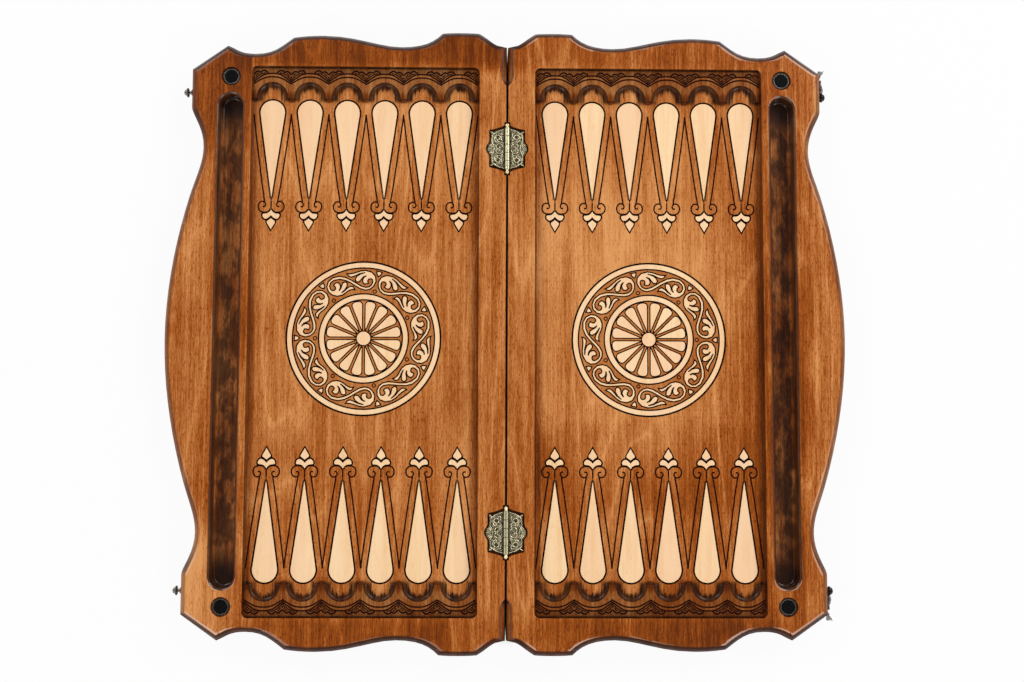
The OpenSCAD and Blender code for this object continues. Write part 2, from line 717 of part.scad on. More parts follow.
// Hook, hanging from its pivot at the origin: X runs out from the wood, Y along the arm
module hook_arm() {
    eye_r = 4;
    nose = hook_reach + notch_r + 2.4;
    tab_start = hook_reach + knob_r + 0.6;
    half_w = hook_w / 2;
    arm = concat(
        chain([0, half_w], [
            [[3, half_w], [5, half_w - 0.6], [6, half_w]],
            [[7.5, half_w + 1.4], [9.5, half_w + 1.4], [11, half_w]],
            [[12.5, half_w - 0.6], [14, half_w + 0.2], [hook_reach - 3.3, half_w + 0.9]],
            [[hook_reach - 1, half_w + 1.4], [nose - 2, half_w + 1.8], [nose, half_w + 0.4]],
            [[nose + 0.8, half_w - 0.4], [tab_start - 0.6, 1.6], [tab_start, 1.6]]
        ], 4),
        chain([tab_start, -1.6], [
            [[tab_start - 2, -1.6], [nose - 3, -half_w - 1.2], [hook_reach - 3.3, -half_w - 0.4]],
            [[10, -half_w + 1], [5, -half_w + 0.6], [0, -half_w]]
        ], 5)
    );
    translate([plate_out, 0, 0]) rotate([90, 0, 90]) difference() {
        linear_extrude(hook_t) difference() {
            union() {
                circle(eye_r);
                polygon(arm);
            }
            // Notch that swings over the knob's neck
            translate([hook_reach, 0]) circle(notch_r);
            intersection() {
                difference() {
                    circle(hook_reach + notch_r, $fn = 96);
                    circle(hook_reach - notch_r, $fn = 96);
                }
                translate([hook_reach / 2, 0]) square([hook_reach, 10]);
            }
        }
        translate([0, 0, -cut]) cylinder(r = pivot_r + run_fit, h = hook_t + 2 * cut);
    }
    // Thumb tab, a flange that spreads out from the wood and ends in two lobes and a horn
    tab = [
        [face_out, tab_start - 1.5], [plate_out, tab_start - 1.5],
        each curve([plate_out, tab_start], [plate_out - 0.3, tab_start + 1.6],
            [plate_out - 0.4, tab_start + 2.6], [plate_out - 0.3, tab_start + 3.4], 3),
        each curve([plate_out - 0.3, tab_start + 3.4], [plate_out, tab_start + 4.5],
            [plate_out + 1.1, tab_start + 4.7], [plate_out + 1.4, tab_start + 3.8], 4),
        each curve([plate_out + 1.4, tab_start + 3.8], [plate_out + 1.9, tab_start + 4.6],
            [plate_out + 2.7, tab_start + 4.4], [plate_out + 2.9, tab_start + 3.4], 4),
        each curve([plate_out + 2.9, tab_start + 3.4], [plate_out + 3.8, tab_start + 3.4],
            [plate_out + 4.6, tab_start + 4.2], [plate_out + 5.1, tab_start + 5.2], 4),
        each curve([plate_out + 5.1, tab_start + 5.2], [plate_out + 5.2, tab_start + 2.4],
            [plate_out + 3.4, tab_start + 0.8], [face_out + 0.2, tab_start - 0.3], 5)
    ];
    tab_t = 1.8;
    translate([0, 0, -tab_t / 2]) linear_extrude(tab_t) polygon(tab);
    // Rib on the outer face, between the screw's head and the knob's disc
    rib_w = 2.6;
    rib_low = 4;
    rib_high = hook_reach - knob_r - 0.8;
    rib_out = face_out + 1.4;
    rib = concat(
        [[plate_out + hook_t / 2, rib_high], [plate_out + hook_t / 2, rib_low]],
        chain([face_out, rib_low], [
            [[face_out + 0.6, rib_low + 0.4], [rib_out, rib_low + 1.4], [rib_out, rib_low + 2.8]],
            [[rib_out, rib_high - 3], [face_out + 0.8, rib_high - 1], [face_out, rib_high]]
        ], 4)
    );
    translate([0, 0, -rib_w / 2]) linear_extrude(rib_w) polygon(rib);
}

module hook(end) {
    color("dimgray") latch_place(end) rotate([-hook_droop, 0, 0]) hook_arm();
}

// One half of the board, built as the right one
module board_half() {
    color("#9c5b2c") difference() {
        board_blank();
        field_cut();
        trough_cut();
        disc_seats();
        hinge_seats();
        latch_holes();
        for (end = [-1, 1]) row(end) point_cut();
        translate([medallion_x, 0, floor_z - inlay_t])
            cylinder(r = ring_r + groove, h = inlay_t + cut, $fn = 96);
    }
}

module on_left() {
    mirror([1, 0, 0]) children();
}

module left_board() { on_left() board_half(); }
module right_board() { board_half(); }

module light_points(end) { color("#f0cd9b") row_points_solid(end); }
module light_tips(end) { color("#f0cd9b") row_tips_solid(end); }
module left_rear_points() { on_left() light_points(1); }
module left_front_points() { on_left() light_points(-1); }
module right_rear_points() { light_points(1); }
module right_front_points() { light_points(-1); }
module left_rear_point_tips() { on_left() light_tips(1); }
module left_front_point_tips() { on_left() light_tips(-1); }
module right_rear_point_tips() { light_tips(1); }
module right_front_point_tips() { light_tips(-1); }

module right_medallion_ground() {
    color("#a8662f") translate([medallion_x, 0, 0]) medallion_ground();
}
module left_medallion_ground() { on_left() right_medallion_ground(); }
module right_medallion_rings() { color("#f0cd9b") translate([medallion_x, 0, 0]) medallion_rings(); }
module left_medallion_rings() { on_left() right_medallion_rings(); }
module right_rosette() { color("#f0cd9b") translate([medallion_x, 0, 0]) rosette(); }
module left_rosette() { on_left() right_rosette(); }
module right_scrolls() { color("#f0cd9b") translate([medallion_x, 0, 0]) scrolls(); }
module left_scrolls() { on_left() right_scrolls(); }

module right_corner_discs() {
    rim_w = 1.1;
    dish = 0.5;
    color("#22201e") for (end = [-1, 1])
        translate([trough_x, end * disc_y, board_t - disc_sink - disc_t]) rotate_extrude() polygon([
            [0, 0], [disc_r, 0], [disc_r, disc_t - 0.3], [disc_r - 0.3, disc_t],
            [disc_r - rim_w, disc_t], [disc_r - rim_w - 0.3, disc_t - dish], [0, disc_t - dish]
        ]);
}
module left_corner_discs() { on_left() right_corner_discs(); }

module hinge_leaf(end, first) {
    color("darkkhaki") translate([0, end * hinge_y, 0]) leaf_solid(first);
}
module rear_hinge_left_leaf() { on_left() hinge_leaf(1, 0); }
module rear_hinge_right_leaf() { hinge_leaf(1, 1); }
module rear_hinge_pin() { hinge_pin(1); }
module front_hinge_left_leaf() { on_left() hinge_leaf(-1, 0); }
module front_hinge_right_leaf() { hinge_leaf(-1, 1); }
module front_hinge_pin() { hinge_pin(-1); }
module right_hinge_nails() { color("sienna") nails(); }
module left_hinge_nails() { on_left() right_hinge_nails(); }

module latch_knob(end) { color("dimgray") on_left() latch_place(end) knob(); }
module latch_screw(end) { color("dimgray") latch_place(end) hook_screw(); }
module rear_latch_knob() { latch_knob(1); }
module front_latch_knob() { latch_knob(-1); }
module rear_latch_hook() { hook(1); }
module front_latch_hook() { hook(-1); }
module rear_hook_screw() { latch_screw(1); }
module front_hook_screw() { latch_screw(-1); }

left_board();
right_board();
left_rear_points();
left_front_points();
right_rear_points();
right_front_points();
left_rear_point_tips();
left_front_point_tips();
right_rear_point_tips();
right_front_point_tips();
left_medallion_ground();
right_medallion_ground();
left_medallion_rings();
right_medallion_rings();
left_rosette();
right_rosette();
left_scrolls();
right_scrolls();
left_corner_discs();
right_corner_discs();
rear_hinge_left_leaf();
rear_hinge_right_leaf();
rear_hinge_pin();
front_hinge_left_leaf();
front_hinge_right_leaf();
front_hinge_pin();
left_hinge_nails();
right_hinge_nails();
rear_latch_knob();
front_latch_knob();
rear_latch_hook();
front_latch_hook();
rear_hook_screw();
front_hook_screw();
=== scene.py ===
"""Folding carved backgammon board, lying open: carved and stained halves, marquetry, hinges, latches and stage."""
import json
import math

import bpy
from bpy.props import FloatProperty, FloatVectorProperty, PointerProperty
from bpy.types import Operator, Panel, PropertyGroup
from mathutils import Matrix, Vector

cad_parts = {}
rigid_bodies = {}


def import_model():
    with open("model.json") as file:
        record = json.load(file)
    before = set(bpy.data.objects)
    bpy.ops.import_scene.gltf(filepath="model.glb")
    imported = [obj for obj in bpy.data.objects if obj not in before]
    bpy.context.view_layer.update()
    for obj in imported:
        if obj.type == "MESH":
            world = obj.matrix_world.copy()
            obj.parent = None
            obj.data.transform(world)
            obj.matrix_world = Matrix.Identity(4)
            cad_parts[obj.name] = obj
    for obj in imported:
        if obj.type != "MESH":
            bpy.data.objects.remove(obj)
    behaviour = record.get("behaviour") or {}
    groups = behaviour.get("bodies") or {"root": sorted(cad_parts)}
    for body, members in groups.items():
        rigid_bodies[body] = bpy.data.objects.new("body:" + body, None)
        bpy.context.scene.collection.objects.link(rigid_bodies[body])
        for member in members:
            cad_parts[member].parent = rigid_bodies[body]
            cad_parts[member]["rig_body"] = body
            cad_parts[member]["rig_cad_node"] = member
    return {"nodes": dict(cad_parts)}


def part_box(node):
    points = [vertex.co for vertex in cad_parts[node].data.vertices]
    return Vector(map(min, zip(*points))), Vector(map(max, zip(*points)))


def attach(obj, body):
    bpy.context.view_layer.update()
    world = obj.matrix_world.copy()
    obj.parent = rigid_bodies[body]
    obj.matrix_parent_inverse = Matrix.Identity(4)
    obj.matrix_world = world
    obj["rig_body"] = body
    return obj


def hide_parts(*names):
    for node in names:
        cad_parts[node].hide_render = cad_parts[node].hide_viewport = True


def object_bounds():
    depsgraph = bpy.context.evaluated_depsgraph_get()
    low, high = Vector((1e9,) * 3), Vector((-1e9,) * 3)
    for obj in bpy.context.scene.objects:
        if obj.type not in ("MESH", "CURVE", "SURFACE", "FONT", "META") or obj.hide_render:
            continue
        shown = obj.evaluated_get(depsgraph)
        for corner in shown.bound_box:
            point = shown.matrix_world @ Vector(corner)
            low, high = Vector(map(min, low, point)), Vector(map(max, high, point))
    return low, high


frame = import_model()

bl_info = {
    "name": "Carved Backgammon Board",
    "version": (1, 0, 0),
    "blender": (4, 5, 0),
    "location": "3D View > Sidebar > Backgammon",
    "description": "Dresses the folding backgammon board and sets its stage",
    "category": "Object",
}

CAD_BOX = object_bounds()
MM = 0.001
HALVES = {"left": -1, "right": 1}
ENDS = {"rear": 1, "front": -1}

# Places read from the frame, and the few sizes of the solids that it doesn't tell
BOARD_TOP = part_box("right_board")[1].z
FIELD_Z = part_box("right_rear_points")[1].z
STRIP_Z = BOARD_TOP - 3 * MM
ROW_POINTS = 6
ROW_LOW, ROW_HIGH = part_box("right_rear_points")
POINT_R = 10.8 * MM
FIRST_X = ROW_LOW.x + POINT_R
PITCH = (ROW_HIGH.x - ROW_LOW.x - 2 * POINT_R) / (ROW_POINTS - 1)
POINT_TIP = ROW_LOW.y
POINT_TOP = ROW_HIGH.y
GROUND_LOW, GROUND_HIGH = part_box("right_medallion_ground")
MEDALLION_X = (GROUND_LOW.x + GROUND_HIGH.x) / 2
RING_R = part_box("right_medallion_rings")[1].y
SCALLOP_Y = POINT_TOP + 2.1 * MM
DISC_LOW, DISC_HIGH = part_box("right_corner_discs")
TROUGH_X = (DISC_LOW.x + DISC_HIGH.x) / 2
HINGE_LOW, HINGE_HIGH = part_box("rear_hinge_pin")
HINGE_Y = (HINGE_LOW.y + HINGE_HIGH.y) / 2
LEAF_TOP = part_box("left_hinge_nails")[1].z - 0.35 * MM
KNOB_LOW, KNOB_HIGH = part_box("rear_latch_knob")
LATCH_Y = (KNOB_LOW.y + KNOB_HIGH.y) / 2

# Upward share of a face's normal past which the face counts as level
LEVEL = 0.99995
# Width of the eased edges of nails, knobs, hooks and screws
METAL_EDGE = 0.12 * MM
LAMP_SIZE = 0.9
# How far the table top is lifted towards white
WHITENESS = 0.93


def tone(red, green, blue):
    """A colour given as it shows on a screen, 0 to 255, in the linear values that shaders take."""
    return tuple(
        c / 12.92 if c <= 0.04045 else ((c + 0.055) / 1.055) ** 2.4
        for c in (red / 255, green / 255, blue / 255)
    )


def colour(name, description, value):
    return FloatVectorProperty(
        name=name, description=description, default=value, subtype="COLOR", min=0, max=1
    )


def length(name, description, value):
    return FloatProperty(name=name, description=description, default=value, unit="LENGTH", precision=5)


class BoardWood(PropertyGroup):
    pale: colour("Pale figure", "Stained beech in the pale lines of its figure", tone(226, 157, 96))
    stain: colour("Stain", "Stained beech where the stain took lightly", tone(198, 125, 66))
    stain_mid: colour("Stain in the grain", "Stained beech along its darker streaks", tone(160, 80, 22))
    stain_deep: colour("Deep stain", "Stained beech where the stain took most", tone(100, 44, 8))
    # Colour of the dark stain, and of the painted shade that the halves take in their hollows and along the rounded
    # edge
    dark_stain_and_shade: colour("Dark stain", "Stain in the troughs and the carved strips", tone(48, 20, 5))
    # Colour of the painted glint along the inner border of the rounded edge
    painted_glint: colour("Rubbed edge", "Pale varnish along the inner border of the rounded edge", tone(226, 184, 158))
    burnt: colour("Burnt line", "Colour of the burnt grooves", tone(44, 13, 5))
    inlay: colour("Light inlay", "Light beech of the inlays", tone(255, 220, 174))
    inlay_fleck: colour("Inlay fleck", "Flecks and streaks in the light beech", tone(238, 178, 116))
    inlay_rosy: colour("Rosy inlay", "The rosier pieces of light beech", tone(250, 204, 166))
    ground: colour("Medallion ground", "Stained veneer between the light scrolls", tone(176, 104, 50))
    stave: FloatProperty(
        name="Stave", description="Width of the glued staves", default=0.071, unit="LENGTH", precision=4
    )
    sheen: FloatProperty(
        name="Varnish roughness", description="Roughness of the satin varnish", default=0.36,
        subtype="FACTOR", min=0, max=1,
    )


class BoardCarving(PropertyGroup):
    line_radius: length("Line radius", "Radius of the gouge that cuts the burnt lines", 0.74 * MM)
    arc_radius: length("Arc radius", "Radius of the gouge that follows the scallops", 0.78 * MM)
    point_edge: length("Point edge", "Width of the eased and burnt edge of the points and their tips", 0.16 * MM)
    medallion_edge: length("Medallion edge", "Width of the same edge on the medallion's pieces", 0.32 * MM)
    line_lift: length("Line lift", "Height of the gouge's middle above the wood", 0.12 * MM)
    leaf_radius: length("Leaf gouge", "Radius of the gouge that outlines the carved leaves", 0.86 * MM)
    vein_radius: length("Vein gouge", "Radius of the gouge that cuts the leaves' veins", 0.6 * MM)


class BoardMetal(PropertyGroup):
    brass: colour("Brass", "Worn high places of the hinges", tone(255, 244, 200))
    patina: colour("Patina", "Dark ground of the hinges", tone(160, 150, 124))
    soot: colour("Soot", "Darkest hollows of the hinges", tone(66, 58, 43))
    dark: colour("Dark metal", "Latches and screws", tone(132, 126, 122))
    enamel: colour("Enamel", "Black faces of the corner discs", tone(9, 9, 9))


class BoardStage(PropertyGroup):
    camera_place: FloatVectorProperty(
        name="Camera", description="Where the camera stands", default=(-0.0166, -0.0893, 1.1264),
        subtype="TRANSLATION", unit="LENGTH",
    )
    camera_turn: FloatVectorProperty(
        name="Camera turn", description="How the camera is turned", default=(0.0787, -0.0196, 0.0031),
        subtype="EULER", unit="ROTATION",
    )
    lens: FloatProperty(name="Lens", description="Focal length", default=44.455, unit="CAMERA")
    floor: colour("Floor", "Colour of the table top", (0.86, 0.86, 0.88))
    horizon: FloatProperty(name="Horizon", description="Strength of the level light", default=0.8, min=0, max=1)
    zenith: FloatProperty(name="Zenith", description="Strength of the light overhead", default=0.12, min=0, max=1)


def pick(*objects):
    """Selects these objects alone and makes the first one active."""
    if bpy.context.object is not None and bpy.context.object.mode != "OBJECT":
        bpy.ops.object.mode_set(mode="OBJECT")
    bpy.ops.object.select_all(action="DESELECT")
    for item in objects:
        item.select_set(True)
    bpy.context.view_layer.objects.active = objects[0]


def copied(node, name):
    """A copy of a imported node, merged into one clean mesh, that stands in for the node."""
    pick(frame["nodes"][node])
    bpy.ops.object.duplicate()
    piece = bpy.context.object
    body = piece["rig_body"]
    del piece["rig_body"], piece["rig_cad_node"]
    bpy.ops.object.parent_clear(type="CLEAR_KEEP_TRANSFORM")
    piece.name = name
    bpy.ops.object.mode_set(mode="EDIT")
    bpy.ops.mesh.select_all(action="SELECT")
    bpy.ops.mesh.remove_doubles(threshold=0.001 * MM)
    bpy.ops.object.mode_set(mode="OBJECT")
    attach(piece, body)
    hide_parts(node)
    return piece


def modify(piece, kind, **settings):
    """Adds a modifier, sets it and applies it."""
    pick(piece)
    bpy.ops.object.modifier_add(type=kind)
    modifier = piece.modifiers[-1]
    for key, value in settings.items():
        setattr(modifier, key, value)
    bpy.ops.object.modifier_apply(modifier=modifier.name)


def ease(piece, width, angle, segments=2):
    """Bevels the edges that turn by more than this angle."""
    modify(piece, "BEVEL", width=width, segments=segments, limit_method="ANGLE", angle_limit=math.radians(angle))


def joined(*pieces):
    """The pieces as one mesh under the first one's name, with their places in the mesh."""
    pick(*pieces)
    bpy.ops.object.transform_apply(location=True, rotation=True, scale=True)
    bpy.ops.object.join()
    return bpy.context.object


def ring(place, radius, thickness, steps):
    bpy.ops.mesh.primitive_torus_add(
        location=place, major_radius=radius, minor_radius=thickness, major_segments=steps, minor_segments=8
    )
    return bpy.context.object


def combine(piece, tool, operation):
    """Cuts the tool out of the piece or joins it on, and removes the tool."""
    faces = len(piece.data.polygons)
    modify(piece, "BOOLEAN", operation=operation, solver="MANIFOLD", object=tool)
    if len(piece.data.polygons) == faces:
        raise RuntimeError(f"{tool.name} left {piece.name} unchanged")
    bpy.data.objects.remove(tool)


def smooth(piece, angle=32):
    """Smooth shading between shallow facets, with the level faces kept flat up to their borders."""
    pick(piece)
    bpy.ops.object.shade_smooth_by_angle(angle=math.radians(angle))
    bpy.ops.object.mode_set(mode="EDIT")
    bpy.ops.mesh.select_mode(type="FACE")
    bpy.ops.mesh.select_all(action="DESELECT")
    bpy.ops.object.mode_set(mode="OBJECT")
    for face in piece.data.polygons:
        face.select = abs(face.normal.z) > LEVEL
    bpy.ops.object.mode_set(mode="EDIT")
    bpy.ops.mesh.mod_weighted_strength(set=True, face_strength="STRONG")
    bpy.ops.object.mode_set(mode="OBJECT")
    modify(piece, "WEIGHTED_NORMAL", keep_sharp=True, weight=60, use_face_influence=True)


def strokes(name, lines, radius):
    """Round rods along curves through the given points, as one mesh. Each line is a list of points."""
    bpy.ops.object.select_all(action="DESELECT")
    bpy.ops.curve.primitive_bezier_curve_add()
    rod = bpy.context.object
    rod.name = name
    curve = rod.data
    curve.splines.clear()
    for line in lines:
        spline = curve.splines.new("BEZIER")
        spline.bezier_points.add(len(line) - 1)
        for knot, place in zip(spline.bezier_points, line):
            knot.co = place
            knot.handle_left_type = knot.handle_right_type = "AUTO"
    curve.resolution_u = 4
    curve.bevel_depth = radius
    curve.bevel_resolution = 2
    curve.use_fill_caps = True
    bpy.ops.object.convert(target="MESH")
    bpy.ops.object.mode_set(mode="EDIT")
    bpy.ops.mesh.select_all(action="SELECT")
    bpy.ops.mesh.remove_doubles(threshold=0.0005 * MM)
    bpy.ops.mesh.normals_make_consistent(inside=False)
    bpy.ops.object.mode_set(mode="OBJECT")
    return bpy.context.object


class Nodes:
    """The nodes of a material or the sky, made one at a time."""

    def __init__(self, owner):
        owner.use_nodes = True
        self.tree = owner.node_tree
        self.tree.nodes.clear()

    def feed(self, socket, value):
        if isinstance(value, bpy.types.NodeSocket):
            self.tree.links.new(value, socket)
        elif socket.type == "RGBA" and len(value) == 3:
            socket.default_value = (*value, 1)
        else:
            socket.default_value = value

    def node(self, kind, settings=None, **inputs):
        made = self.tree.nodes.new(kind)
        for key, value in (settings or {}).items():
            setattr(made, key, value)
        for key, value in inputs.items():
            self.feed(made.inputs[key.replace("_", " ")], value)
        return made

    def math(self, operation, first, second=0.0):
        made = self.node("ShaderNodeMath", {"operation": operation})
        self.feed(made.inputs[0], first)
        self.feed(made.inputs[1], second)
        return made.outputs[0]

    def step(self, value, low, high):
        """0 below low, 1 above high and smooth between."""
        return self.node(
            "ShaderNodeMapRange", {"interpolation_type": "SMOOTHSTEP"},
            Value=value, From_Min=low, From_Max=high,
        ).outputs["Result"]

    def inside(self, value, low, high, soft=0.5 * MM):
        """1 between low and high."""
        rising = self.step(value, low - soft / 2, low + soft / 2)
        falling = self.step(value, high + soft / 2, high - soft / 2)
        return self.scaled(rising, falling)

    def all_of(self, *masks):
        result = masks[0]
        for mask in masks[1:]:
            result = self.scaled(result, mask)
        return result

    def any_of(self, *masks):
        result = masks[0]
        for mask in masks[1:]:
            result = self.math("MAXIMUM", result, mask)
        return result

    def plus(self, *values):
        result = values[0]
        for value in values[1:]:
            result = self.math("ADD", result, value)
        return result

    def minus(self, first, second):
        return self.math("SUBTRACT", first, second)

    def scaled(self, value, factor):
        return self.math("MULTIPLY", value, factor)

    def ratio(self, first, second):
        return self.math("DIVIDE", first, second)

    def size(self, value):
        return self.math("ABSOLUTE", value)

    def capped(self, value):
        return self.math("MINIMUM", value, 1.0)

    def less(self, mask):
        """What the mask leaves out."""
        return self.minus(1.0, mask)

    def far(self, first, second):
        """Length of the way given by its two parts."""
        return self.math("SQRT", self.plus(self.scaled(first, first), self.scaled(second, second)))

    def between(self, factor, first, second):
        """A number on the way from the first to the second."""
        return self.node("ShaderNodeMapRange", Value=factor, To_Min=first, To_Max=second).outputs["Result"]

    def mix_number(self, factor, first, second):
        """The first number where the factor is 0 and the second where it is 1."""
        return self.plus(self.scaled(first, self.less(factor)), self.scaled(second, factor))

    def spread(self, value, factor):
        """A value that swings about 0.5, turned into one that swings about 0 this many times as far."""
        return self.scaled(self.minus(value, 0.5), factor)


class Finish(Nodes):
    """One material. Places are read in metres from the piece's own coordinates."""

    def __init__(self, name):
        self.material = bpy.data.materials.new(name)
        super().__init__(self.material)
        own = self.node("ShaderNodeTexCoord").outputs
        self.place, self.normal = own["Object"], own["Normal"]
        parts = self.node("ShaderNodeSeparateXYZ", Vector=self.place).outputs
        self.x, self.y, self.z = parts["X"], parts["Y"], parts["Z"]

    def mix(self, factor, first, second):
        made = self.node("ShaderNodeMix", {"data_type": "RGBA"})
        self.feed(made.inputs[0], factor)
        self.feed(made.inputs[6], first)
        self.feed(made.inputs[7], second)
        return made.outputs[2]

    def stretched(self, along_x, along_y, along_z, shift=None):
        """The piece's coordinates times these factors, with an optional shift."""
        made = self.node("ShaderNodeVectorMath", {"operation": "MULTIPLY"})
        self.feed(made.inputs[0], self.place)
        made.inputs[1].default_value = (along_x, along_y, along_z)
        if shift is None:
            return made.outputs[0]
        moved = self.node("ShaderNodeVectorMath", {"operation": "ADD"})
        self.feed(moved.inputs[0], made.outputs[0])
        self.feed(moved.inputs[1], shift)
        return moved.outputs[0]

    def noise(self, vector, detail=2, rough=0.5, warp=0.0):
        return self.node(
            "ShaderNodeTexNoise", Vector=vector, Scale=1.0, Detail=detail, Roughness=rough, Distortion=warp
        ).outputs["Fac"]

    def ramp(self, value, stops):
        made = self.node("ShaderNodeValToRGB", Fac=value)
        elements = made.color_ramp.elements
        while len(elements) < len(stops):
            elements.new(0.5)
        for element, (place, shade) in zip(elements, stops):
            element.position = place
            element.color = (*shade, 1)
        return made.outputs["Color"]

    def surface(self, shader, **inputs):
        """Connects the shader to the output. Constant values are set on the shader's own sockets."""
        made = self.node(shader)
        for key, value in inputs.items():
            self.feed(made.inputs[key.replace("_", " ")], value)
        self.node("ShaderNodeOutputMaterial", Surface=made.outputs[0])
        return self.material

    def bump(self, height, strength, distance):
        return self.node("ShaderNodeBump", Height=height, Strength=strength, Distance=distance).outputs["Normal"]


def grain(f, stave_width):
    """Beech figure with its grain along Y, stave by stave: a darkness from 0 to 1 and its relief."""
    across = f.ratio(f.plus(f.x, 0.0135), stave_width)
    stave = f.node("ShaderNodeTexWhiteNoise", {"noise_dimensions": "1D"}, W=f.math("FLOOR", across)).outputs
    shift = f.node("ShaderNodeVectorMath", {"operation": "SCALE"})
    f.feed(shift.inputs[0], stave["Color"])
    shift.inputs["Scale"].default_value = 7.0
    drift = shift.outputs[0]
    # Growth rings, cut at a slant: long wavy contours with a pale line along each
    contour = f.noise(f.stretched(13, 2.1, 6, drift), detail=2, rough=0.4, warp=0.35)
    rings = f.math("PINGPONG", f.scaled(contour, 10.0), 0.5)
    pale_line = f.less(f.step(rings, 0.0, 0.1))
    streak = f.noise(f.stretched(430, 9, 300, drift), detail=4, rough=0.65)
    fibre = f.noise(f.stretched(1500, 90, 1300), detail=3, rough=0.7)
    fleck = f.step(f.noise(f.stretched(1900, 300, 1700), detail=1), 0.56, 0.68)
    blotch = f.noise(f.stretched(17, 11, 9, drift), detail=4, rough=0.62, warp=0.4)
    dark = f.plus(
        0.38, f.spread(streak, 0.95), f.spread(blotch, 0.6), f.spread(fibre, 0.95), f.scaled(fleck, 0.3),
        f.spread(f.scaled(rings, 2.0), 0.16), f.scaled(pale_line, -0.12), f.spread(stave["Value"], 0.16),
    )
    relief = f.minus(f.scaled(fibre, 0.5), f.scaled(fleck, 0.5))
    return dark, relief


def beech_colour(f, dark):
    """Stained beech from its palest line to its deepest stain."""
    wood = bpy.context.scene.board_wood
    stops = [(0.0, wood.pale), (0.32, wood.stain), (0.62, wood.stain_mid), (1.0, wood.stain_deep)]
    return f.ramp(dark, [(place, tuple(shade)) for place, shade in stops])


